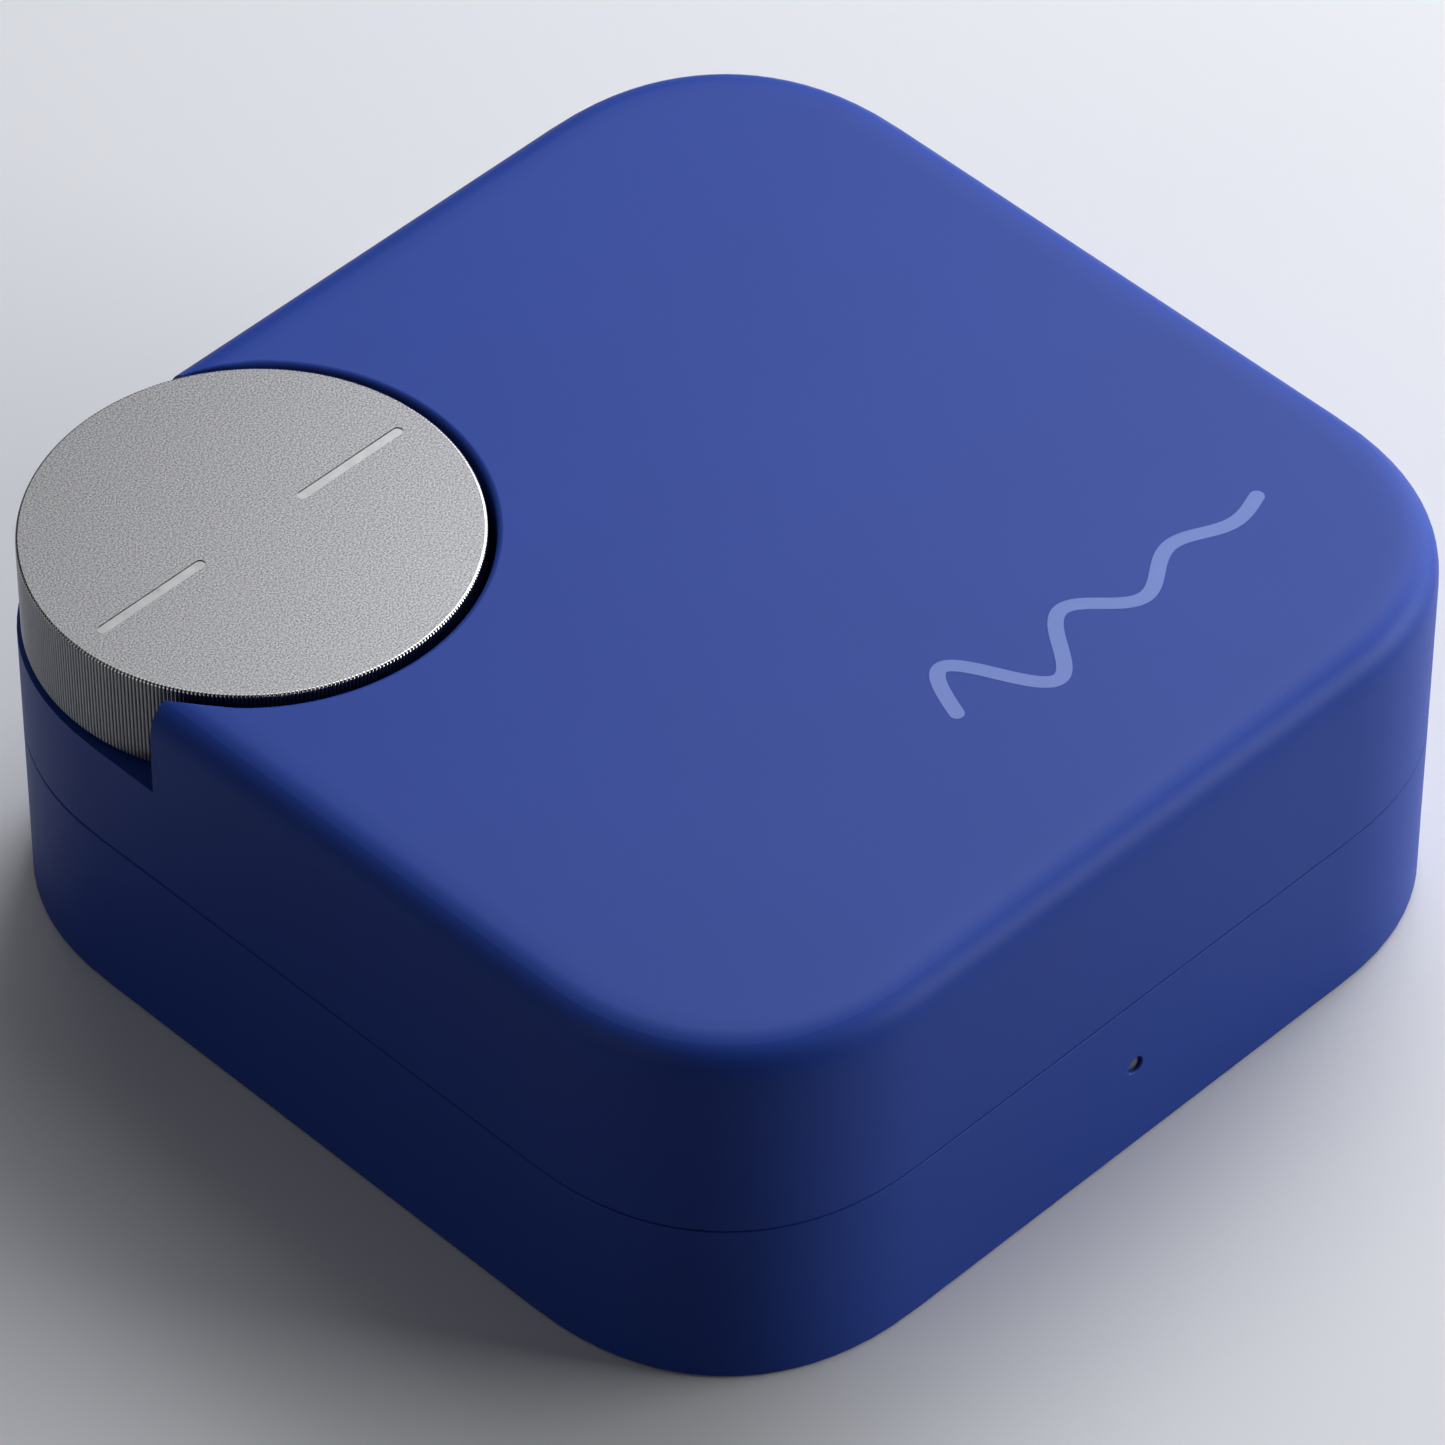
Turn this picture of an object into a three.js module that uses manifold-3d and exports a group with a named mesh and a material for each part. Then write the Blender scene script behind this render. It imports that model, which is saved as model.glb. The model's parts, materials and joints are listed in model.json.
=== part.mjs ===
// A desktop watch demagnetizer, in millimetres, +Z up.
// The origin lies on the bench under the middle of the square case.
// -Y is the front with its signal lamp, +Y is the rear with its charging socket,
// and the control dial fills the rear left corner, at -X and +Y.

import * as THREE from "three";
import { mergeVertices } from "three/addons/utils/BufferGeometryUtils.js";
import Module from "manifold-3d";

const wasm = await Module();
wasm.setup();

// ---------- Driving dimensions ----------

const GAP = 0.3; // clearance left between two pieces that touch
const QUARTER_TURN = Math.PI / 2;

const CASE = {
  side: 100,
  top: 40.25,
  bottom: 0.15, // the feet carry the case this far above the bench
  wall: 2.4,
  roof: 2.4,
  floor: 2.35,
  cornerExtent: 23.3, // how far each corner's curve reaches along the two sides
  cornerExponent: 2.26, // a little squarer than a circle, which is 2
  edgeExtent: 5, // how far the rounding of the top edge reaches in and down
  edgeExponent: 3,
  bottomChamfer: 0.25,
};
CASE.half = CASE.side / 2;
CASE.innerFloor = CASE.bottom + CASE.floor;
CASE.innerWall = CASE.half - CASE.wall;

const SEAM = { z: 18.8, gap: 0.2, lipHeight: 1.6, lipThickness: 1 };
SEAM.lower = SEAM.z - SEAM.gap / 2;
SEAM.upper = SEAM.z + SEAM.gap / 2;

const DIAL = {
  radius: 20.5,
  inset: 0.42, // from the dial's rim to the planes of the two outer walls
  top: 40.5,
  height: 10,
  bevel: 0.25,
  skirt: 2.2,
  crown: 2.1,
  grooveStart: 5.6,
  grooveEnd: 17.95,
  grooveWidth: 1,
  grooveDepth: 0.3,
};
DIAL.x = -(CASE.half - DIAL.inset - DIAL.radius);
DIAL.y = -DIAL.x;
DIAL.bottom = DIAL.top - DIAL.height;
DIAL.ceiling = DIAL.top - DIAL.crown;

const POCKET = {
  radius: 21.25,
  floorTop: DIAL.bottom - 0.65, // room under the dial for its press
  floorThickness: 2.2,
  wall: 2,
  wallEnd: 19.6, // where each outer wall stops, measured from the case's middle
};
POCKET.floorUnderside = POCKET.floorTop - POCKET.floorThickness;

const BUSHING = { radius: 4.5, bore: 3.2, top: 33.4 };
const ENCODER = {
  width: 12.4,
  depth: 13.2,
  top: POCKET.floorUnderside - GAP,
  height: 7.5,
  cupFloor: 1.2,
  pinRadius: 0.4,
  pinReach: 3,
  pinRow: 5.6,
  pinPitch: 2.5,
};
ENCODER.bottom = ENCODER.top - ENCODER.height;
const WASHER = { radius: 7.5, thickness: 0.6 };
const NUT = { acrossFlats: 12, thickness: 2 };
const SHAFT = { radius: 3, bottom: 24.2, top: 37.8, flat: 1.5, flatStart: 34 };
const PLUNGER = { radius: 2.9, bottom: 22.5, top: 23.9 };
const DOME = { radius: 2.9, bottom: ENCODER.bottom + ENCODER.cupFloor + GAP, rise: 0.3 };
const HUB = { flange: 17.9, flangeThickness: 1.5, sleeve: 7, bottom: 34.3 };
const ENCODER_BOARD = { half: 9, length: 11, thickness: 1.6, hole: 0.75 };
ENCODER_BOARD.top = ENCODER.bottom - GAP;
ENCODER_BOARD.bottom = ENCODER_BOARD.top - ENCODER_BOARD.thickness;

const FOOT = { radius: 5, thickness: 1, offset: 38.5 };
const CASE_BOSS = {
  lowerRadius: 4.4,
  upperRadius: 3.2,
  counterbore: 3,
  seat: 13,
  clearance: 1.45,
  threadTop: 25.5,
};
const CASE_SCREW = { head: 2.6, headHeight: 2, shank: 1.1, length: 11.8 };

const BOARD = { half: 45.3, corner: 17, bottom: 6.9, thickness: 1.6, screwX: 42.3, screwY: 14 };
BOARD.top = BOARD.bottom + BOARD.thickness;
const ON_BOARD = BOARD.top + GAP; // where the pieces on the main board start
const BOARD_POST = { radius: 3.2, bore: 1.3 };
const BOARD_SCREW = { head: 2.2, headHeight: 1.5, shank: 0.9, length: 5.2 };

const COIL = {
  x: 14,
  y: -6,
  flange: 23.5,
  flangeThickness: 1.5,
  bottom: 22,
  top: 35.5,
  tube: 8,
  bore: 6.5,
  winding: 21,
  core: 6.2,
  coreTop: 36.5,
};
const COIL_PLATE = { half: 23.5, thickness: 1.5, corner: 4, screwOffset: 20.5 };
COIL_PLATE.top = COIL.bottom - GAP;
COIL_PLATE.bottom = COIL_PLATE.top - COIL_PLATE.thickness;
const COIL_BOSS = { radius: 3, bore: 1.4, bottom: COIL.bottom, boreTop: 30 };
const COIL_SCREW = { head: 2.4, headHeight: 1.6, shank: 1.1, length: 8 };
const COIL_PAD = { radius: 15 };

const BATTERY = { x: -25.5, y: -9, width: 22, length: 45, height: 12, corner: 2 };
const TRAY = { wall: 1.2, base: 1.2, height: 7.2 };
const STRAP = { width: 12, thickness: 1 };

const CAPACITOR = { radius: 6.3, height: 24, y: 32, leftX: 14, rightX: 28, edge: 0.5, bead: 2.6 };
const INDUCTOR = { radius: 6, height: 8, rim: 1.4, waist: 4.4, x: -3, y: 29 };
const HEAT_SINK = { x: 8, y: -42, width: 18, depth: 9, height: 8.5, fins: 6, back: 2, fin: 1.2 };
const TRANSISTOR = { width: 10, depth: 3.2, height: 8, tab: 1.3, tabHeight: 13, hole: 1.5, holeZ: 10.5 };
const CHIP = { x: 16, y: 0, side: 10, height: 1.2 };
const CONNECTOR = { wall: 0.8, slot: 1 };
const BATTERY_SOCKET = { x: BATTERY.x, y: -38, width: 6, depth: 5, height: 4.2 };
const DIAL_SOCKET = { x: -29, y: 24, width: 8, depth: 4, height: 4.2 };
const COIL_TERMINAL = { x: 40.5, y: -2, width: 5, depth: 7, height: 3.7 };

const LAMP = { z: 10.4, hole: 0.85, lens: 0.55, lensRecess: 0.4, stem: 1.5, tail: -42.6 };
const LED = { radius: 1.3, flange: 0.3, flangeHeight: 0.8, length: 3.6 };
const SOCKET = { width: 8.94, height: 3.2, z: 10.4, sheet: 0.3, back: 0.8, inner: 41.5, outer: 49.3 };
const TONGUE = { width: 6.6, thickness: 0.7, outer: 48.5 };

const LEAD = { battery: 1, dial: 1.1, coil: 0.9 }; // radii

const CORNERS = [
  { name: "front_left", x: -1, y: -1 },
  { name: "front_right", x: 1, y: -1 },
  { name: "rear_left", x: -1, y: 1 },
  { name: "rear_right", x: 1, y: 1 },
];

// ---------- Finishes ----------

function finish(color, roughness, metalness = 0) {
  return new THREE.MeshStandardMaterial({ color, roughness, metalness });
}

const FINISH = {
  case: finish(0x3c4a92, 0.55),
  dial: finish(0xb4b5b9, 0.4, 0.9),
  steel: finish(0x9a9ca0, 0.35, 1),
  rubber: finish(0x26272b, 0.9),
  darkPlastic: finish(0x2e2f33, 0.5),
  palePlastic: finish(0xd9d6cc, 0.5),
  copper: finish(0xb5683a, 0.4, 0.8),
  ferrite: finish(0x3a3a3e, 0.7),
  board: finish(0x1f5a3c, 0.5),
  foam: finish(0x55565c, 0.95),
  foil: finish(0x7d8fae, 0.45, 0.2),
  lens: finish(0x8e9299, 0.25),
  lead: finish(0xa02a2a, 0.5),
};

// ---------- Geometry helpers ----------

// A closed geometry as a solid that can be cut and joined.
function solid(geometry) {
  const bare = geometry.index ? geometry.toNonIndexed() : geometry.clone();
  bare.deleteAttribute("normal");
  bare.deleteAttribute("uv");
  const merged = mergeVertices(bare, 1e-4);
  return new wasm.Manifold(
    new wasm.Mesh({
      numProp: 3,
      vertProperties: merged.attributes.position.array,
      triVerts: new Uint32Array(merged.index.array),
    }),
  );
}

// A solid as a flat shaded geometry.
function geometryOf(body) {
  const mesh = body.getMesh();
  const indexed = new THREE.BufferGeometry();
  indexed.setAttribute("position", new THREE.BufferAttribute(mesh.vertProperties, 3));
  indexed.setIndex(new THREE.BufferAttribute(mesh.triVerts, 1));
  const flat = indexed.toNonIndexed();
  flat.computeVertexNormals();
  return flat;
}

function joined(bodies) {
  return bodies.reduce((whole, body) => whole.add(body));
}

// An upright cylinder between two heights.
function post(radius, low, high, x = 0, y = 0, sides = 20) {
  const cylinder = new THREE.CylinderGeometry(radius, radius, high - low, sides);
  return solid(cylinder.rotateX(QUARTER_TURN).translate(x, y, (low + high) / 2));
}

// A cylinder that lies along Y between two places.
function pinAlongY(radius, near, far, x, z, sides = 20) {
  const cylinder = new THREE.CylinderGeometry(radius, radius, far - near, sides);
  return solid(cylinder.translate(x, (near + far) / 2, z));
}

function block(x0, x1, y0, y1, z0, z1) {
  const box = new THREE.BoxGeometry(x1 - x0, y1 - y0, z1 - z0);
  return solid(box.translate((x0 + x1) / 2, (y0 + y1) / 2, (z0 + z1) / 2));
}

function roundedRectangle(width, height, radius, curveSteps = 6) {
  const [w, h] = [width / 2, height / 2];
  const shape = new THREE.Shape();
  shape.moveTo(w, h - radius);
  shape.absarc(w - radius, h - radius, radius, 0, QUARTER_TURN);
  shape.absarc(radius - w, h - radius, radius, QUARTER_TURN, 2 * QUARTER_TURN);
  shape.absarc(radius - w, radius - h, radius, 2 * QUARTER_TURN, 3 * QUARTER_TURN);
  shape.absarc(w - radius, radius - h, radius, 3 * QUARTER_TURN, 4 * QUARTER_TURN);
  return new THREE.Shape(shape.getPoints(curveSteps));
}

function extruded(shape, low, high) {
  const options = { depth: high - low, bevelEnabled: false, curveSegments: 12 };
  return new THREE.ExtrudeGeometry(shape, options).translate(0, 0, low);
}

// The shape's own Y becomes Z, and the piece runs along Y.
function extrudedAlongY(shape, near, far) {
  return extruded(shape, 0, far - near).rotateX(QUARTER_TURN).translate(0, far, 0);
}

// A profile of [radius, height] points turned about Z, listed from the foot of the
// axis, up the outside, back to the axis.
function turned(profile, sides = 32) {
  const points = profile.map(([radius, height]) => new THREE.Vector2(radius, height));
  return new THREE.LatheGeometry(points, sides).rotateX(QUARTER_TURN);
}

// A round tube that follows a smooth curve through the points.
function tube(points, radius, steps) {
  const curve = new THREE.CatmullRomCurve3(points.map((p) => new THREE.Vector3(...p)));
  const section = new THREE.Shape();
  section.absarc(0, 0, radius, 0, 4 * QUARTER_TURN);
  const round = new THREE.Shape(section.getPoints(6).slice(0, -1));
  return new THREE.ExtrudeGeometry(round, { steps, extrudePath: curve, bevelEnabled: false });
}

function cornerCurve(angle, exponent) {
  const along = Math.max(Math.cos(angle), 0) ** (2 / exponent);
  const across = Math.max(Math.sin(angle), 0) ** (2 / exponent);
  return [along, across];
}

// The case's outline, a square with soft corners, drawn a little further in.
function caseOutline(inset, steps = 7) {
  const extent = CASE.cornerExtent - inset;
  const straight = CASE.half - CASE.cornerExtent;
  const outline = [];
  for (let corner = 0; corner < 4; corner++) {
    for (let step = 0; step <= steps; step++) {
      const [along, across] = cornerCurve((step / steps) * QUARTER_TURN, CASE.cornerExponent);
      const point = new THREE.Vector2(straight + extent * along, straight + extent * across);
      outline.push(point.rotateAround(new THREE.Vector2(), corner * QUARTER_TURN));
    }
  }
  return outline;
}

// A closed body whose level rings are case outlines, each with its height and inset.
function caseLoft(rings) {
  const outlines = rings.map((ring) => caseOutline(ring.inset));
  const count = outlines[0].length;
  const positions = outlines.flatMap((outline, level) =>
    outline.flatMap((point) => [point.x, point.y, rings[level].z]),
  );
  const bottomCentre = rings.length * count;
  const topCentre = bottomCentre + 1;
  positions.push(0, 0, rings[0].z, 0, 0, rings.at(-1).z);
  const indices = [];
  for (let i = 0; i < count; i++) {
    const next = (i + 1) % count;
    for (let level = 0; level < rings.length - 1; level++) {
      const low = level * count;
      const high = low + count;
      indices.push(low + i, low + next, high + next, low + i, high + next, high + i);
    }
    const last = bottomCentre - count;
    indices.push(bottomCentre, next, i, topCentre, last + i, last + next);
  }
  const geometry = new THREE.BufferGeometry();
  geometry.setAttribute("position", new THREE.Float32BufferAttribute(positions, 3));
  geometry.setIndex(indices);
  return solid(geometry);
}

// The rings of a softly rounded top edge that reaches in by extent.
function topEdgeRings(top, inset, extent, steps = 5) {
  return Array.from({ length: steps + 1 }, (_, step) => {
    const [side, rise] = cornerCurve((step / steps) * QUARTER_TURN, CASE.edgeExponent);
    return { z: top - extent * (1 - rise), inset: inset + extent * (1 - side) };
  });
}

// A screw with its head below the origin, its shank up +Z and a cross recess.
function screw({ head, headHeight, shank, length }) {
  const recess = headHeight * 0.6;
  const slotHalf = head * 0.12;
  const reach = head * 0.55;
  const body = post(head, -headHeight, 0, 0, 0, 14).add(post(shank, -0.1, length, 0, 0, 8));
  const slotX = block(-reach, reach, -slotHalf, slotHalf, -headHeight - 1, recess - headHeight);
  const slotY = block(-slotHalf, slotHalf, -reach, reach, -headHeight - 1, recess - headHeight);
  return geometryOf(body.subtract(slotX).subtract(slotY));
}

// ---------- Assembly helpers ----------

const demagnetizer = new THREE.Group();

function groupAt(x, y, z = 0) {
  const group = new THREE.Group();
  group.position.set(x, y, z);
  demagnetizer.add(group);
  return group;
}

function addPiece(group, name, shape, material, x = 0, y = 0, z = 0) {
  const geometry = shape.isBufferGeometry ? shape : geometryOf(shape);
  const mesh = new THREE.Mesh(geometry, material);
  mesh.name = name;
  mesh.position.set(x, y, z);
  group.add(mesh);
  return mesh;
}

// ---------- Case ----------

// The dial's round well, open to the outside where it meets the case's corner.
function dialWell(radius, endShift, low) {
  const high = CASE.top + 5;
  const outside = -CASE.half - 5;
  const wallEnd = POCKET.wallEnd - endShift;
  const round = post(radius, low, high, DIAL.x, DIAL.y, 64);
  const leftNotch = block(outside, DIAL.x, wallEnd, -outside, low, high);
  const rearNotch = block(outside, -wallEnd, DIAL.y, -outside, low, high);
  return joined([round, leftNotch, rearNotch]);
}

function upperShell() {
  const roofUnderside = CASE.top - CASE.roof;
  const outside = caseLoft([
    { z: SEAM.upper, inset: 0 },
    ...topEdgeRings(CASE.top, 0, CASE.edgeExtent),
  ]);
  const inside = caseLoft([
    { z: SEAM.upper - 1, inset: CASE.wall },
    ...topEdgeRings(roofUnderside, CASE.wall, CASE.edgeExtent - CASE.wall, 2),
  ]);
  const wellHousing = dialWell(POCKET.radius + POCKET.wall, POCKET.wall, POCKET.floorUnderside);
  const well = dialWell(POCKET.radius, 0, POCKET.floorTop);
  const rebateTop = SEAM.lower + SEAM.lipHeight + GAP;
  const rebateInset = CASE.wall - SEAM.lipThickness - GAP;
  const rebate = caseLoft([
    { z: SEAM.upper - 1, inset: rebateInset },
    { z: rebateTop, inset: rebateInset },
  ]);
  const bushingHole = post(BUSHING.radius + GAP, ENCODER.top, DIAL.bottom, DIAL.x, DIAL.y);

  const bosses = [];
  const bores = [];
  for (const corner of CORNERS) {
    const [x, y] = [corner.x * FOOT.offset, corner.y * FOOT.offset];
    const bossTop = corner.name === "rear_left" ? POCKET.floorUnderside : roofUnderside;
    bosses.push(post(CASE_BOSS.upperRadius, SEAM.z, bossTop + 0.5, x, y));
    bores.push(post(CASE_SCREW.shank + GAP, SEAM.z - 1, CASE_BOSS.threadTop, x, y, 12));
    const [coilX, coilY] = coilScrewPlace(corner);
    bosses.push(post(COIL_BOSS.radius, COIL_BOSS.bottom, roofUnderside + 0.5, coilX, coilY));
    bores.push(post(COIL_BOSS.bore, COIL_BOSS.bottom - 1, COIL_BOSS.boreTop, coilX, coilY, 12));
  }
  const skin = outside.subtract(inside.subtract(wellHousing)).subtract(well).subtract(rebate);
  return joined([skin, ...bosses]).subtract(bushingHole).subtract(joined(bores));
}

function coilScrewPlace(corner) {
  const offset = COIL_PLATE.screwOffset;
  return [COIL.x + corner.x * offset, COIL.y + corner.y * offset];
}

function boardScrewPlace(corner) {
  return [corner.x * BOARD.screwX, corner.y * BOARD.screwY];
}

function socketOutline(growth) {
  const height = SOCKET.height + 2 * growth;
  return roundedRectangle(SOCKET.width + 2 * growth, height, height / 2 - 0.02);
}

function lowerShell() {
  const outside = caseLoft([
    { z: CASE.bottom, inset: CASE.bottomChamfer },
    { z: CASE.bottom + CASE.bottomChamfer, inset: 0 },
    { z: SEAM.lower, inset: 0 },
  ]);
  const lipInset = CASE.wall - SEAM.lipThickness;
  const lip = caseLoft([
    { z: SEAM.lower - 1, inset: lipInset },
    { z: SEAM.lower + SEAM.lipHeight, inset: lipInset },
  ]);
  const inside = caseLoft([
    { z: CASE.innerFloor, inset: CASE.wall },
    { z: SEAM.z + 5, inset: CASE.wall },
  ]);
  const additions = [];
  const cuts = [];
  for (const corner of CORNERS) {
    const [x, y] = [corner.x * FOOT.offset, corner.y * FOOT.offset];
    additions.push(post(CASE_BOSS.lowerRadius, CASE.bottom + 1, SEAM.z - GAP, x, y));
    cuts.push(post(FOOT.radius + GAP, -1, FOOT.thickness + GAP, x, y));
    cuts.push(post(CASE_BOSS.counterbore, -1, CASE_BOSS.seat, x, y));
    cuts.push(post(CASE_BOSS.clearance, -1, SEAM.z + 5, x, y, 12));
    const [boardX, boardY] = boardScrewPlace(corner);
    additions.push(
      post(BOARD_POST.radius, CASE.innerFloor - 1, BOARD.bottom - GAP, boardX, boardY),
    );
    cuts.push(post(BOARD_POST.bore, CASE.innerFloor + 0.5, BOARD.bottom + 5, boardX, boardY, 12));
  }
  const lampHole = pinAlongY(LAMP.hole, -CASE.half - 1, 1 - CASE.innerWall, 0, LAMP.z);
  const socketHole = solid(
    extrudedAlongY(socketOutline(GAP), CASE.innerWall - 1, CASE.half + 1).translate(0, 0, SOCKET.z),
  );
  return joined([outside.add(lip).subtract(inside), ...additions])
    .subtract(joined(cuts))
    .subtract(lampHole)
    .subtract(socketHole);
}

function buildCase() {
  const group = groupAt(0, 0);
  addPiece(group, "upper_shell", upperShell(), FINISH.case);
  addPiece(group, "lower_shell", lowerShell(), FINISH.case);
  const footGeometry = geometryOf(post(FOOT.radius, 0, FOOT.thickness));
  const screwGeometry = screw(CASE_SCREW);
  for (const { name, x, y } of CORNERS) {
    const place = [x * FOOT.offset, y * FOOT.offset];
    addPiece(group, `foot_${name}`, footGeometry, FINISH.rubber, ...place);
    addPiece(
      group,
      `case_screw_${name}`,
      screwGeometry,
      FINISH.steel,
      ...place,
      CASE_BOSS.seat - GAP,
    );
  }
}

// ---------- Dial and its encoder, about the dial's axis ----------

function indexGroove(side) {
  const length = DIAL.grooveEnd - DIAL.grooveStart;
  const outline = roundedRectangle(length, DIAL.grooveWidth, DIAL.grooveWidth / 2 - 0.01);
  const groove = extruded(outline, DIAL.top - DIAL.grooveDepth, DIAL.top + 1);
  return solid(groove.translate(side * (DIAL.grooveStart + length / 2), 0, 0));
}

function dialKnob() {
  const bore = DIAL.radius - DIAL.skirt;
  const cup = solid(
    turned(
      [
        [0, DIAL.ceiling],
        [bore, DIAL.ceiling],
        [bore, DIAL.bottom],
        [DIAL.radius - DIAL.bevel, DIAL.bottom],
        [DIAL.radius, DIAL.bottom + DIAL.bevel],
        [DIAL.radius, DIAL.top - DIAL.bevel],
        [DIAL.radius - DIAL.bevel, DIAL.top],
        [0, DIAL.top],
      ],
      72,
    ),
  );
  return cup.subtract(indexGroove(-1)).subtract(indexGroove(1));
}

// The D-shaped part of the shaft, or the bore that fits it when growth is a clearance.
function flattedRod(growth, low, high) {
  const radius = SHAFT.radius + growth;
  const flat = SHAFT.flat + growth;
  const beyond = radius + 1;
  return post(radius, low, high, 0, 0, 24).subtract(
    block(flat, beyond, -beyond, beyond, low - 1, high + 1),
  );
}

function dialHub() {
  const top = DIAL.ceiling - GAP;
  const sleeve = post(HUB.sleeve, HUB.bottom, top, 0, 0, 24);
  const flange = post(HUB.flange, top - HUB.flangeThickness, top, 0, 0, 48);
  return sleeve.add(flange).subtract(flattedRod(GAP, HUB.bottom - 1, top + 1));
}

function encoderShaft() {
  const round = post(SHAFT.radius, SHAFT.bottom, SHAFT.flatStart, 0, 0, 24);
  return round.add(flattedRod(0, SHAFT.flatStart - 0.1, SHAFT.top));
}

function encoderPinPlaces() {
  const front = [-1, 0, 1].map((step) => [step * ENCODER.pinPitch, -ENCODER.pinRow]);
  const rear = [-1, 1].map((step) => [step * ENCODER.pinPitch, ENCODER.pinRow]);
  return [...front, ...rear];
}

function encoderBody() {
  const [w, d] = [ENCODER.width / 2, ENCODER.depth / 2];
  const can = block(-w, w, -d, d, ENCODER.bottom, ENCODER.top);
  const bushing = post(BUSHING.radius, ENCODER.top - 1, BUSHING.top, 0, 0, 24);
  const bore = post(BUSHING.bore, ENCODER.bottom + ENCODER.cupFloor, BUSHING.top + 1, 0, 0, 24);
  const pins = encoderPinPlaces().map(([x, y]) =>
    post(ENCODER.pinRadius, ENCODER.bottom - ENCODER.pinReach, ENCODER.bottom + 0.5, x, y, 6),
  );
  return joined([can, bushing, ...pins]).subtract(bore);
}

function encoderNut() {
  const low = POCKET.floorTop + GAP + WASHER.thickness + GAP;
  const cornerRadius = NUT.acrossFlats / Math.sqrt(3);
  const hexagon = post(cornerRadius, low, low + NUT.thickness, 0, 0, 6);
  return hexagon.subtract(post(BUSHING.radius + GAP, low - 1, low + NUT.thickness + 1, 0, 0, 24));
}

function encoderWasher() {
  const low = POCKET.floorTop + GAP;
  const high = low + WASHER.thickness;
  return post(WASHER.radius, low, high, 0, 0, 24).subtract(
    post(BUSHING.radius + GAP, low - 1, high + 1, 0, 0, 24),
  );
}

function switchDome() {
  const { radius, bottom, rise } = DOME;
  return turned(
    [
      [0, bottom],
      [radius, bottom],
      [radius, bottom + rise / 3],
      [radius / 2, bottom + rise * 0.8],
      [0, bottom + rise],
    ],
    20,
  );
}

function encoderBoard() {
  const { half, length, bottom, top } = ENCODER_BOARD;
  const plate = block(-half, half, -length, length, bottom, top);
  const holes = encoderPinPlaces().map(([x, y]) =>
    post(ENCODER_BOARD.hole, bottom - 1, top + 1, x, y, 10),
  );
  const bossX = -FOOT.offset - DIAL.x;
  const bossY = FOOT.offset - DIAL.y;
  const bossRoom = post(CASE_BOSS.lowerRadius + 1, bottom - 1, top + 1, bossX, bossY);
  return plate.subtract(joined([...holes, bossRoom]));
}

function buildDial() {
  const group = groupAt(DIAL.x, DIAL.y);
  addPiece(group, "dial_knob", dialKnob(), FINISH.dial);
  addPiece(group, "dial_hub", dialHub(), FINISH.darkPlastic);
  addPiece(group, "encoder_shaft", encoderShaft(), FINISH.steel);
  addPiece(
    group,
    "switch_plunger",
    post(PLUNGER.radius, PLUNGER.bottom, PLUNGER.top),
    FINISH.palePlastic,
  );
  addPiece(group, "switch_dome", switchDome(), FINISH.steel);
  addPiece(group, "encoder_body", encoderBody(), FINISH.steel);
  addPiece(group, "encoder_washer", encoderWasher(), FINISH.steel);
  addPiece(group, "encoder_nut", encoderNut(), FINISH.steel);
  addPiece(group, "encoder_board", encoderBoard(), FINISH.board);
}

// ---------- Coil, about its own axis ----------

function coilBobbin() {
  const { tube: neck, flange, flangeThickness, bottom, top } = COIL;
  const parts = [
    post(flange, bottom, bottom + flangeThickness, 0, 0, 48),
    post(neck, bottom, top, 0, 0, 24),
    post(flange, top - flangeThickness, top, 0, 0, 48),
  ];
  return joined(parts).subtract(post(COIL.bore, bottom - 1, top + 1, 0, 0, 24));
}

function coilWinding() {
  const low = COIL.bottom + COIL.flangeThickness + GAP;
  const high = COIL.top - COIL.flangeThickness - GAP;
  return post(COIL.winding, low, high, 0, 0, 48).subtract(
    post(COIL.tube + GAP, low - 1, high + 1, 0, 0, 24),
  );
}

function coilPlate() {
  const { half, corner, bottom, top, screwOffset } = COIL_PLATE;
  const plate = solid(extruded(roundedRectangle(2 * half, 2 * half, corner), bottom, top));
  const holes = CORNERS.map(({ x, y }) =>
    post(COIL_SCREW.shank + GAP, bottom - 1, top + 1, x * screwOffset, y * screwOffset, 12),
  );
  return plate.subtract(joined(holes));
}

function buildCoil() {
  const group = groupAt(COIL.x, COIL.y);
  addPiece(group, "coil_bobbin", coilBobbin(), FINISH.palePlastic);
  addPiece(group, "coil_winding", coilWinding(), FINISH.copper);
  addPiece(group, "coil_core", post(COIL.core, COIL.bottom, COIL.coreTop), FINISH.ferrite);
  addPiece(group, "coil_back_plate", coilPlate(), FINISH.steel);
  const padLow = COIL.coreTop + GAP;
  const padHigh = CASE.top - CASE.roof - GAP;
  addPiece(group, "coil_pad", post(COIL_PAD.radius, padLow, padHigh), FINISH.foam);
  const geometry = screw(COIL_SCREW);
  for (const { name, x, y } of CORNERS) {
    const offset = COIL_PLATE.screwOffset;
    const headSeat = COIL_PLATE.bottom - GAP;
    addPiece(group, `coil_screw_${name}`, geometry, FINISH.steel, x * offset, y * offset, headSeat);
  }
}

// ---------- Main board ----------

function mainBoard() {
  const { half, corner, bottom, top } = BOARD;
  const outline = roundedRectangle(2 * half, 2 * half, corner, 8);
  const cuts = CORNERS.flatMap((place) => [
    post(
      CASE_BOSS.lowerRadius + 0.8,
      bottom - 1,
      top + 1,
      place.x * FOOT.offset,
      place.y * FOOT.offset,
    ),
    post(BOARD_SCREW.shank + GAP, bottom - 1, top + 1, ...boardScrewPlace(place), 12),
  ]);
  return solid(extruded(outline, bottom, top)).subtract(joined(cuts));
}

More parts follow.
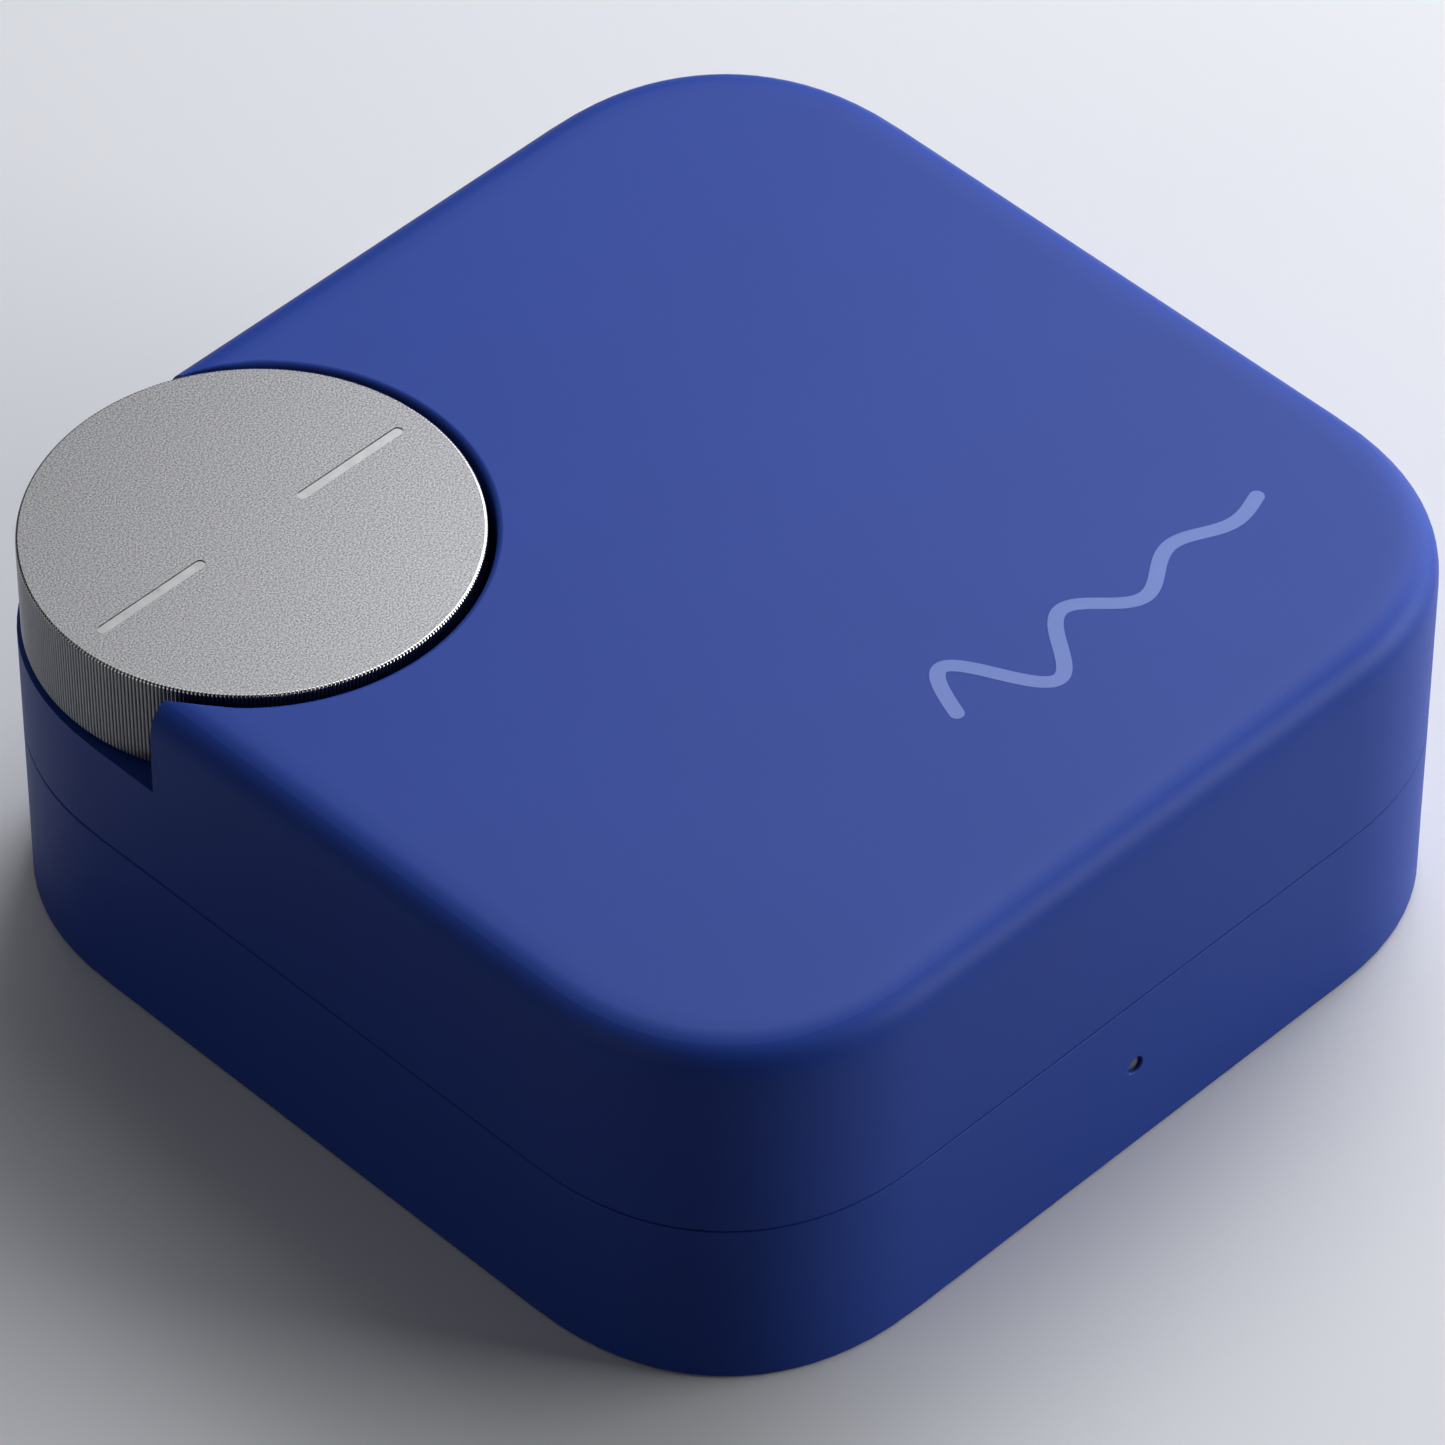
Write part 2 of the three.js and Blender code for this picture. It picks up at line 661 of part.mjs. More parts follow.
// A sleeved can with rolled edges and a bead near its foot.
function capacitor() {
  const { radius, height, edge, bead } = CAPACITOR;
  const neck = radius - edge;
  return turned(
    [
      [0, 0],
      [neck, 0],
      [radius, edge],
      [radius, bead - edge],
      [neck, bead],
      [radius, bead + edge],
      [radius, height - edge],
      [neck, height],
      [0, height],
    ],
    20,
  );
}

// A drum core, whose waist is filled by its wire.
function inductor() {
  const { radius, height, rim, waist } = INDUCTOR;
  return turned(
    [
      [0, 0],
      [radius, 0],
      [radius, rim],
      [waist, rim],
      [waist, height - rim],
      [radius, height - rim],
      [radius, height],
      [0, height],
    ],
    20,
  );
}

// A comb of upright fins on a flat back, standing on the board.
function heatSink() {
  const { width, depth, height, fins, back, fin } = HEAT_SINK;
  const pitch = (width - fin) / (fins - 1);
  const spine = block(0, width, depth - back, depth, 0, height);
  const teeth = Array.from({ length: fins }, (_, i) =>
    block(i * pitch, i * pitch + fin, 0, depth - back + 0.1, 0, height),
  );
  return joined([spine, ...teeth]);
}

// A plastic body in front of its metal tab.
function powerTransistor() {
  const { width, depth, height, tab, tabHeight, hole, holeZ } = TRANSISTOR;
  const half = width / 2;
  const body = block(-half, half, 0, depth, 0, height);
  const plate = block(-half, half, -tab, 0.1, 0, tabHeight);
  return body.add(plate).subtract(pinAlongY(hole, -tab - 1, 1, 0, holeZ, 16));
}

function socketShell() {
  const { inner, outer, sheet, z } = SOCKET;
  const outside = solid(extrudedAlongY(socketOutline(0), inner, outer));
  const inside = solid(extrudedAlongY(socketOutline(-sheet), inner + SOCKET.back, outer + 1));
  return geometryOf(outside.subtract(inside)).translate(0, 0, z);
}

function socketTongue() {
  const near = SOCKET.inner + SOCKET.back + GAP;
  const [w, t] = [TONGUE.width / 2, TONGUE.thickness / 2];
  return block(-w, w, near, TONGUE.outer, SOCKET.z - t, SOCKET.z + t);
}

// A small lamp lying on the board with its dome towards the front.
function statusLed() {
  const { radius, flange, flangeHeight, length } = LED;
  const profile = [
    [0, 0],
    [radius + flange, 0],
    [radius + flange, flangeHeight],
    [radius, flangeHeight],
    [radius, length * 0.67],
    [radius * 0.75, length * 0.89],
    [radius * 0.4, length * 0.98],
    [0, length],
  ];
  return turned(profile, 14).rotateX(QUARTER_TURN);
}

// A clear rod from the lamp to the front wall, with a thin tip in the hole.
function lightPipe() {
  const shoulder = -CASE.innerWall + GAP;
  const stem = pinAlongY(LAMP.stem, shoulder, LAMP.tail, 0, LAMP.z, 20);
  const tip = pinAlongY(LAMP.lens, LAMP.lensRecess - CASE.half, shoulder + 0.1, 0, LAMP.z, 16);
  return stem.add(tip);
}

// A socket housing with a slot for its plug.
function connector({ width, depth, height }) {
  const [w, d] = [width / 2, depth / 2];
  const [slotW, slotD] = [w - CONNECTOR.wall, d - CONNECTOR.wall];
  const housing = block(-w, w, -d, d, 0, height);
  return housing.subtract(block(-slotW, slotW, -slotD, slotD, height - CONNECTOR.slot, height + 1));
}

// A piece that stands on the main board at its own x and y.
function addOnBoard(group, name, shape, material, { x, y }) {
  return addPiece(group, name, shape, material, x, y, ON_BOARD);
}

function buildBoard() {
  const group = groupAt(0, 0);
  addPiece(group, "main_board", mainBoard(), FINISH.board);
  const screwGeometry = screw(BOARD_SCREW);
  for (const corner of CORNERS) {
    const [x, y] = boardScrewPlace(corner);
    const name = `board_screw_${corner.name}`;
    const mesh = addOnBoard(group, name, screwGeometry, FINISH.steel, { x, y });
    mesh.rotation.x = Math.PI;
  }
  const { leftX, rightX, y } = CAPACITOR;
  addOnBoard(group, "capacitor_left", capacitor(), FINISH.darkPlastic, { x: leftX, y });
  addOnBoard(group, "capacitor_right", capacitor(), FINISH.darkPlastic, { x: rightX, y });
  addOnBoard(group, "inductor", inductor(), FINISH.ferrite, INDUCTOR);
  addOnBoard(group, "heat_sink", heatSink(), FINISH.steel, HEAT_SINK);
  const transistorPlace = {
    x: HEAT_SINK.x + HEAT_SINK.width / 2,
    y: HEAT_SINK.y + HEAT_SINK.depth + GAP + TRANSISTOR.tab,
  };
  addOnBoard(group, "power_transistor", powerTransistor(), FINISH.darkPlastic, transistorPlace);
  const chipHalf = CHIP.side / 2;
  const chip = block(-chipHalf, chipHalf, -chipHalf, chipHalf, 0, CHIP.height);
  addOnBoard(group, "controller_chip", chip, FINISH.darkPlastic, CHIP);
  addOnBoard(group, "battery_socket", connector(BATTERY_SOCKET), FINISH.palePlastic, BATTERY_SOCKET);
  addOnBoard(group, "dial_socket", connector(DIAL_SOCKET), FINISH.palePlastic, DIAL_SOCKET);
  addOnBoard(group, "coil_terminal", connector(COIL_TERMINAL), FINISH.palePlastic, COIL_TERMINAL);
  addPiece(group, "usb_socket", socketShell(), FINISH.steel);
  addPiece(group, "usb_tongue", socketTongue(), FINISH.darkPlastic);
  const ledFoot = LAMP.tail + GAP + LED.length;
  addPiece(group, "status_led", statusLed(), FINISH.lens, 0, ledFoot, LAMP.z);
  addPiece(group, "light_pipe", lightPipe(), FINISH.lens);
}

// ---------- Battery ----------

function batteryTray() {
  const outerWidth = BATTERY.width + 2 * (TRAY.wall + GAP);
  const outerLength = BATTERY.length + 2 * (TRAY.wall + GAP);
  const [w, l] = [outerWidth / 2, outerLength / 2];
  const whole = block(-w, w, -l, l, 0, TRAY.height);
  const { wall, base, height } = TRAY;
  return whole.subtract(block(wall - w, w - wall, wall - l, l - wall, base, height + 1));
}

function batteryStrap(trayHalfWidth) {
  const inner = trayHalfWidth + GAP;
  const outer = inner + STRAP.thickness;
  const underside = TRAY.base + GAP + BATTERY.height + GAP;
  const half = STRAP.width / 2;
  const whole = block(-outer, outer, -half, half, 0, underside + STRAP.thickness);
  return whole.subtract(block(-inner, inner, -half - 1, half + 1, -1, underside));
}

function buildBattery() {
  const group = groupAt(BATTERY.x, BATTERY.y, ON_BOARD);
  addPiece(group, "battery_tray", batteryTray(), FINISH.darkPlastic);
  const outline = roundedRectangle(BATTERY.width, BATTERY.length, BATTERY.corner, 4);
  const low = TRAY.base + GAP;
  addPiece(group, "battery_pack", extruded(outline, low, low + BATTERY.height), FINISH.foil);
  const trayHalfWidth = BATTERY.width / 2 + TRAY.wall + GAP;
  addPiece(group, "battery_strap", batteryStrap(trayHalfWidth), FINISH.darkPlastic);
}

// ---------- Internal leads ----------

// The height at which a lead leaves a socket on the main board.
function leadHeight(socket) {
  return ON_BOARD + socket.height + GAP;
}

// From the battery's front end, over the tray's wall and down to its socket.
function batteryRoute() {
  const batteryEnd = BATTERY.y - BATTERY.length / 2 - GAP;
  const { x, y } = BATTERY_SOCKET;
  return [
    [x, batteryEnd, 19],
    [x, batteryEnd - 3.5, 18.6],
    [x, y + 0.4, 16.5],
    [x, y, leadHeight(BATTERY_SOCKET)],
  ];
}

// Almost straight up from its socket to the board under the dial.
function dialRoute() {
  const boardEdge = ENCODER_BOARD.bottom - GAP;
  const low = leadHeight(DIAL_SOCKET);
  const { x, y } = DIAL_SOCKET;
  return [
    [x, y, low],
    [x, y + 0.2, low + 1.2],
    [x, y + 2, boardEdge - 1.2],
    [x, y + 2.2, boardEdge],
  ];
}

// Out of the winding's side and down past the coil to its terminal.
function coilRoute() {
  const windingEdge = COIL.x + COIL.winding + GAP;
  const { x, y } = COIL_TERMINAL;
  return [
    [windingEdge, y, 28],
    [windingEdge + 3, y, 27.5],
    [x, y, 23],
    [x, y, 17],
    [x, y, leadHeight(COIL_TERMINAL)],
  ];
}

function buildLeads() {
  const group = groupAt(0, 0);
  addPiece(group, "battery_lead", tube(batteryRoute(), LEAD.battery, 7), FINISH.lead);
  addPiece(group, "dial_lead", tube(dialRoute(), LEAD.dial, 6), FINISH.lead);
  addPiece(group, "coil_lead", tube(coilRoute(), LEAD.coil, 8), FINISH.lead);
}

buildCase();
buildDial();
buildCoil();
buildBoard();
buildBattery();
buildLeads();

export default demagnetizer;
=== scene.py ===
"""Looks of a desktop watch demagnetizer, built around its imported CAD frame.

Everything is in metres in the CAD frame: -Y is the front with the signal lamp, +Y the rear
with the charging socket, and the dial fills the rear left corner.
"""
import json
import math

import bmesh
import bpy
from mathutils import Matrix, Vector


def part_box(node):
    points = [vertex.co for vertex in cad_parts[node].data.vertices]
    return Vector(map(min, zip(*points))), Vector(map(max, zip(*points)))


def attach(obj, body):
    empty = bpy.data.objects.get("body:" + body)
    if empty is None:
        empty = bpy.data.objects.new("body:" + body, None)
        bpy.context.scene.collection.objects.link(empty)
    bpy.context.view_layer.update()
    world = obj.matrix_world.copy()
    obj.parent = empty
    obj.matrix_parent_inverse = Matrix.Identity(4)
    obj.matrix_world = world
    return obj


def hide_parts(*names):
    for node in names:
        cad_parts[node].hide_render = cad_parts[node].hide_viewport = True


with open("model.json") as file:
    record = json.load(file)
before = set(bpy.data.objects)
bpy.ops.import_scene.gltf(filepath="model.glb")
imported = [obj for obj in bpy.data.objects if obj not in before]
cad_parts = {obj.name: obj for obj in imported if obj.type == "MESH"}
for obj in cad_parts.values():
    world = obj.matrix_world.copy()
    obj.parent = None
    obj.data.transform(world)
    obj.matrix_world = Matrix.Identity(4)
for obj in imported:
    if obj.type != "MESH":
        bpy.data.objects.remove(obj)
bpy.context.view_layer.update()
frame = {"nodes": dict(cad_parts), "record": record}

MM = 0.001
QUARTER = math.pi / 2
WELD = 1e-5  # points and insets nearer than this, in millimetres, count as one

# ---------- Sizes, in millimetres until they are scaled by MM ----------

shell_low, shell_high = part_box("upper_shell")
tub_low, tub_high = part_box("lower_shell")
dial_low, dial_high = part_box("dial_knob")

HALF = shell_high.x / MM  # half of the square case's side
TOP = shell_high.z / MM
TUB_BOTTOM = tub_low.z / MM
SEAM_UPPER = shell_low.z / MM
SEAM_GAP = 0.2
SEAM_LOWER = SEAM_UPPER - SEAM_GAP
WALL = 2.4
CORNER_EXTENT = 23.3  # how far each corner's curve runs along a side
CORNER_EXPONENT = 2.26
EDGE_EXTENT = 5.0  # how far the top edge's curve runs down the wall and in over the top
EDGE_EXPONENT = 3.0
SEAM_ROUND = 0.07  # the upper shell's lower edge
LIP_ROUND = 0.13  # the lower shell's upper edge
LIP_TOP = tub_high.z / MM
LIP_INSET = 1.4
REBATE_INSET = 1.1  # the upper shell's recess that takes the lip
REBATE_TOP = LIP_TOP + 0.3
TUB_FLOOR = TUB_BOTTOM + 2.35
BOTTOM_ROUND = 0.25

DIAL_X = (dial_low.x + dial_high.x) / 2 / MM
DIAL_Y = (dial_low.y + dial_high.y) / 2 / MM
DIAL_RADIUS = (dial_high.x - dial_low.x) / 2 / MM
DIAL_TOP = dial_high.z / MM
DIAL_BOTTOM = dial_low.z / MM

WELL_RADIUS = 21.25
WELL_FLOOR = DIAL_BOTTOM - 0.65
WELL_WALL_END = 19.6  # how far from the case's middle each side opening starts
WELL_WALL = 2.0
WELL_FLOOR_THICKNESS = 2.2
BUSHING_HOLE_RADIUS = 4.8
RIM_ROUND = 0.6
RIM_ROUND_LEAST = 0.15  # the share of it that is left at the side openings

CORNERS = ("front_left", "front_right", "rear_left", "rear_right")
FOOT_RECESS_RADIUS = 5.3
FOOT_RECESS_DEPTH = 1.3
COUNTERBORE_RADIUS = 3.0
COUNTERBORE_DEPTH = 2.3

LAMP_Z = 10.4
LAMP_HOLE_RADIUS = 0.85
LENS_RADIUS = 0.78
LENS_COLLAR_RADIUS = 1.5
LENS_TIP = -HALF + 0.26
LENS_BACK = -42.6

SOCKET_Z = 10.4
SOCKET_WIDTH = 8.94
SOCKET_HEIGHT = 3.2
SOCKET_SHEET = 0.3
SOCKET_MOUTH = 49.3
SOCKET_BACK = 41.5
SOCKET_GAP = 0.3  # between the socket and its opening in the wall

KNURL_TEETH = 354
KNURL_DEPTH = 0.22
KNURL_SHARES = (0.0, 0.12, 1.0, 0.12)  # of that depth over one tooth: round crest, sharp valley
DIAL_ROUND = 0.27
CUP_RADIUS = 18.3  # the hollow under the dial
CUP_ROOF = DIAL_TOP - 2.1
GROOVE_START = 5.6
GROOVE_END = 17.95
GROOVE_WIDTH = 1.0
GROOVE_DEPTH = 0.1

MARK_START = Vector((-1.8, -29.5))
MARK_LENGTH = 37.6
MARK_HEIGHT = 5.6
MARK_STROKE = 1.4
MARK_THICKNESS = 0.02
MARK_SWINGS = 3.0
MARK_DECAY = 2.1


# ---------- Curves ----------

def superellipse(angle, exponent):
    """The point of a unit superellipse whose outward normal has this angle, 0 to 90 degrees."""
    along = max(math.cos(angle), 0.0) ** (1 / (exponent - 1))
    across = max(math.sin(angle), 0.0) ** (1 / (exponent - 1))
    size = (along**exponent + across**exponent) ** (1 / exponent)
    return along / size, across / size


def case_corner(corner, inset, steps=20):
    """One corner of the case's outline, counterclockwise; corner 0 is at +X and +Y."""
    turn = Matrix.Rotation(corner * QUARTER, 2)
    straight = HALF - CORNER_EXTENT
    points = []
    for step in range(steps + 1):
        angle = step / steps * QUARTER
        along, across = superellipse(angle, CORNER_EXPONENT)
        x = straight + CORNER_EXTENT * along - inset * math.cos(angle)
        y = straight + CORNER_EXTENT * across - inset * math.sin(angle)
        points.append(turn @ Vector((x, y)))
    return points


def edge_profile(top, extent, steps=14):
    """(height, inset) pairs of the rounded top edge, from the wall to the flat top."""
    rows = []
    for step in range(steps + 1):
        angle = step / steps * QUARTER
        side, rise = superellipse(angle, EDGE_EXPONENT)
        rows.append((top - extent * (1 - rise), extent * (1 - side)))
    return rows


# ---------- Mesh helpers ----------

def new_object(name, data):
    """A new object in the scene, from a mesh, a light or a camera."""
    obj = bpy.data.objects.new(name, data)
    bpy.context.scene.collection.objects.link(obj)
    return obj


def finish_mesh(bm, name):
    """Turns a bmesh in millimetres into a welded object in metres with faces pointing out."""
    bmesh.ops.remove_doubles(bm, verts=bm.verts, dist=WELD)
    bmesh.ops.scale(bm, vec=(MM, MM, MM), verts=bm.verts)
    bmesh.ops.recalc_face_normals(bm, faces=bm.faces)
    mesh = bpy.data.meshes.new(name)
    bm.to_mesh(mesh)
    bm.free()
    return new_object(name, mesh)


def shade(obj, sharp_degrees=40):
    """Smooth shading with sharp edges kept sharp."""
    obj.data.shade_smooth()
    obj.data.set_sharp_from_angle(angle=math.radians(sharp_degrees))
    modifier = obj.modifiers.new("weighted_normals", "WEIGHTED_NORMAL")
    modifier.keep_sharp = True
    return obj


def apply_modifiers(obj):
    """Bakes an object's modifiers into its mesh."""
    graph = bpy.context.evaluated_depsgraph_get()
    mesh = bpy.data.meshes.new_from_object(obj.evaluated_get(graph))
    obj.modifiers.clear()
    obj.data = mesh
    return obj


def cut(obj, cutter):
    """Subtracts cutter from obj and throws the cutter away."""
    modifier = obj.modifiers.new("cut", "BOOLEAN")
    modifier.operation = "DIFFERENCE"
    modifier.solver = "EXACT"
    modifier.object = cutter
    apply_modifiers(obj)
    bpy.data.objects.remove(cutter)
    return obj


def bridge(bm, lower, upper, closed=True):
    """Quads between two rows of vertices that run the same way."""
    count = len(lower)
    for i in range(count if closed else count - 1):
        j = (i + 1) % count
        corners = [lower[i], lower[j], upper[j], upper[i]]
        distinct = list(dict.fromkeys(corners))
        if len(distinct) > 2:
            bm.faces.new(distinct)


def ring(bm, points, z):
    """A row of vertices over points in the plane, at height z."""
    return [bm.verts.new((p[0], p[1], z)) for p in points]


def turned(name, profile, sides=96, x=0.0, y=0.0):
    """A closed body turned about Z, from (radius, height) points along its outline."""
    bm = bmesh.new()
    rows = []
    for radius, height in profile:
        if radius == 0:
            rows.append([bm.verts.new((x, y, height))] * sides)
            continue
        angles = [2 * math.pi * i / sides for i in range(sides)]
        points = [(x + radius * math.cos(a), y + radius * math.sin(a)) for a in angles]
        rows.append(ring(bm, points, height))
    for low, high in zip(rows, rows[1:]):
        bridge(bm, low, high)
    if profile[0][0] and profile[-1][0]:
        bridge(bm, rows[-1], rows[0])
    return finish_mesh(bm, name)


def rounded_bar_outline(width, height, radius, steps=12):
    """A rectangle with round corners about the origin, counterclockwise."""
    points = []
    for corner in range(4):
        sign_x = 1 if corner in (0, 3) else -1
        sign_y = 1 if corner in (0, 1) else -1
        for step in range(steps + 1):
            angle = (corner + step / steps) * QUARTER
            x = sign_x * (width / 2 - radius) + radius * math.cos(angle)
            y = sign_y * (height / 2 - radius) + radius * math.sin(angle)
            points.append(Vector((x, y)))
    return points


def prism(name, outline, low, high, move=None):
    """A closed prism over an outline; move is a matrix in millimetres."""
    bm = bmesh.new()
    bottom = ring(bm, outline, low)
    top = ring(bm, outline, high)
    bridge(bm, bottom, top)
    bm.faces.new(reversed(bottom))
    bm.faces.new(top)
    if move is not None:
        bmesh.ops.transform(bm, matrix=move, verts=bm.verts)
    return finish_mesh(bm, name)


# The outline's own Y becomes Z, and the prism runs along Y.
ALONG_Y = Matrix.Rotation(QUARTER, 4, "X")


def bevel_edges(obj, chosen, width, segments):
    """Rounds the edges for which chosen(edge) is true, by width in millimetres."""
    bm = bmesh.new()
    bm.from_mesh(obj.data)
    layer = bm.edges.layers.float.new("bevel_weight_edge")
    for edge in bm.edges:
        edge[layer] = float(chosen(edge))
    bm.to_mesh(obj.data)
    bm.free()
    modifier = obj.modifiers.new("round_off", "BEVEL")
    modifier.limit_method = "WEIGHT"
    modifier.width = width * MM
    modifier.segments = segments
    return apply_modifiers(obj)


def is_convex_corner(edge):
    """True for an edge where the surface turns outwards by more than 30 degrees."""
    return edge.is_manifold and edge.calc_face_angle_signed() > math.radians(30)


def middle_of(edge):
    """An edge's middle in millimetres."""
    return (edge.verts[0].co + edge.verts[1].co) / 2 / MM


# ---------- Upper shell ----------

def well_x_on_circle(y, radius):
    """Where a circle round the dial's middle crosses this y, on the side of the left wall."""
    return DIAL_X - math.sqrt(radius**2 - (y - DIAL_Y) ** 2)


def mirrored(point):
    """The same place on the other side of the case's diagonal through the dial."""
    return Vector((-point.y, -point.x))


class WellShape:
    """The dial's well as it cuts one skin of the upper shell."""

    def __init__(self, radius, wall_end, floor, inset, round_off):
        self.radius = radius
        self.round_off = round_off  # of the rim; it shrinks towards the side openings
        self.wall_end = wall_end
        self.floor = floor
        self.inset = inset  # how far this skin lies inside the case's outline
        self.corner_x = well_x_on_circle(wall_end, radius + RIM_ROUND_LEAST * round_off)
        # The inset at which the side opening's end face gives way to the round wall; below
        # zero if the round wall runs right out to this skin.
        self.inset_break = self.corner_x + HALF - inset

    def rim_radius(self, inset):
        """The radius at which the case's surface gives way to the rim's round-off."""
        share = (inset - self.inset_break) / (EDGE_EXTENT - self.inset - self.inset_break)
        share = max(0.0, min(1.0, share))
        return self.radius + self.round_off * (RIM_ROUND_LEAST + (1 - RIM_ROUND_LEAST) * share)

    def end_point(self, inset):
        """Where an outline of this inset stops on the left wall."""
        x = -HALF + self.inset + inset
        if x <= self.corner_x:
            return Vector((x, self.wall_end))
        reach = math.sqrt(self.rim_radius(inset) ** 2 - (x - DIAL_X) ** 2)
        return Vector((x, DIAL_Y - reach))

    def arc(self, start, steps=72):
        """Points on the circle from start, past the case's middle, to its mirror image."""
        relative = start - Vector((DIAL_X, DIAL_Y))
        radius = relative.length
        first = math.atan2(relative.y, relative.x)
        last = math.atan2(-relative.x, -relative.y)
        points = []
        for step in range(steps + 1):
            angle = first + (last - first) * step / steps
            x = DIAL_X + radius * math.cos(angle)
            y = DIAL_Y + radius * math.sin(angle)
            points.append(Vector((x, y)))
        return points

    def drop(self, bm, vert, share, lower=0.0, level=None):
        """A vertex below one of the rim, this share of the way round the rim's round-off."""
        away = vert.co.xy - Vector((DIAL_X, DIAL_Y))
        round_off = away.length - self.radius
        radius = self.radius + round_off * (1 - math.sin(share * QUARTER))
        under = Vector((DIAL_X, DIAL_Y)) + away.normalized() * radius
        height = vert.co.z - round_off * (1 - math.cos(share * QUARTER)) - lower
        return bm.verts.new((under.x, under.y, height if level is None else level))


def trimmed_row(well, inset):
    """One outline of the skin from the left wall's end round to the rear wall's end."""
    start = well.end_point(inset)
    total = well.inset + inset
    middle = Vector((-HALF + total, 8.0))  # a point on the wall between its end and the corner
    corners = [p for corner in (2, 3, 0) for p in case_corner(corner, total)]
    return [start, middle, *corners, mirrored(middle), mirrored(start)]


def profile_with_break(top, extent, inset_break):
    """The top edge's profile, with one more row where the inset is inset_break if it has one."""
    rows = edge_profile(top, extent)
    if inset_break <= 0:
        return rows
    low = 0.0
    high = QUARTER
    for _ in range(40):
        angle = (low + high) / 2
        side, rise = superellipse(angle, EDGE_EXPONENT)
        if extent * (1 - side) < inset_break:
            low = angle
        else:
            high = angle
    rows.append((top - extent * (1 - rise), inset_break))
    rows.sort()
    return rows


def add_skin(bm, well, top, extent, base_rows):
    """One skin of the upper shell, inside or outside, open at its lowest row."""
    profile = profile_with_break(top, extent, well.inset_break)
    rear_corner = case_corner(1, well.inset)
    full_rows = []
    for z, extra in base_rows + [(well.floor, 0.0)]:
        shape = trimmed_row(well, 0.0)
        loop = shape + rear_corner
        if extra:
            loop = [p - extra * outward(loop, i) for i, p in enumerate(loop)]
        full_rows.append(ring(bm, loop, z))
    for low, high in zip(full_rows, full_rows[1:]):
        bridge(bm, low, high)

    trimmed_count = len(full_rows[-1]) - len(rear_corner)
    floor_row = full_rows[-1]
    previous = floor_row[:trimmed_count]
    rows = [previous]
    support = well.floor + 0.8
    for z, inset in [(support, 0.0), *profile]:
        current = ring(bm, trimmed_row(well, inset), z)
        bridge(bm, previous, current, closed=False)
        rows.append(current)
        previous = current

    insets = [0.0, 0.0] + [inset for _, inset in profile]
    add_well(bm, well, rows, insets, floor_row[trimmed_count:], top)
    return full_rows[0]


def outward(loop, index):
    """The outward direction of a counterclockwise loop of points at one of them."""
    before = loop[index - 1]
    after = loop[(index + 1) % len(loop)]
    along = (after - before).normalized()
    return Vector((along.y, -along.x))


def add_well(bm, well, rows, insets, corner_verts, top):
    """The flat top, the well's wall, its two end faces and its floor."""
    has_ends = well.inset_break > 0
    if has_ends:
        on_circle = [row for row, inset in zip(rows, insets) if inset >= well.inset_break - WELD]
    else:
        on_circle = rows[2:]

    last = on_circle[-1]
    arc_points = well.arc(Vector(last[0].co.xy))
    arc = [last[0], *ring(bm, arc_points[1:-1], top), last[-1]]
    bm.faces.new([*reversed(arc), *last[1:-1]])

    rim = [row[0] for row in on_circle] + arc[1:-1] + [row[-1] for row in reversed(on_circle)]
    strips = [rim]
    if well.round_off:
        strips += [[well.drop(bm, v, step / 4) for v in rim] for step in (1, 2, 3, 4)]
    shoulder = [well.drop(bm, v, 1.0, 0.4) for v in rim]
    foot = [well.drop(bm, v, 1.0, level=well.floor) for v in rim]
    if has_ends:
        on_face = [row for row, inset in zip(rows, insets) if inset <= well.inset_break + WELD]
        for end in (0, -1):
            outer_edge = [row[end] for row in on_face]
            round_edge = [strip[end] for strip in strips[1:]]
            bm.faces.new([*outer_edge, *round_edge, shoulder[end], foot[end]])
        boundary = [*foot, rows[0][-1], *corner_verts, rows[0][0]]
    else:
        for end in (0, -1):
            bm.verts.remove(shoulder[end])
            bm.verts.remove(foot[end])
            shoulder[end] = rows[1][end]
            foot[end] = rows[0][end]
        boundary = [*foot, *corner_verts]
    strips += [shoulder, foot]
    for upper, lower in zip(strips, strips[1:]):
        bridge(bm, lower, upper, closed=False)
    bm.faces.new(boundary)


def bushing_cutter():
    """The hole in the well's floor for the encoder's bushing."""
    low = WELL_FLOOR - 4
    high = WELL_FLOOR + 1
    profile = [(0, low), (BUSHING_HOLE_RADIUS, low), (BUSHING_HOLE_RADIUS, high), (0, high)]
    return turned("bushing_cutter", profile, 96, DIAL_X, DIAL_Y)


def add_rebate(bm, outer_open, inner_open):
    """Joins the two skins' open edges through the recess that takes the lower shell's lip."""
    loop = [vert.co.xy for vert in inner_open]
    points = [p + (WALL - REBATE_INSET) * outward(loop, i) for i, p in enumerate(loop)]
    low = ring(bm, points, SEAM_UPPER)
    high = ring(bm, points, REBATE_TOP)
    bridge(bm, outer_open, low)
    bridge(bm, low, high)
    bridge(bm, high, inner_open)


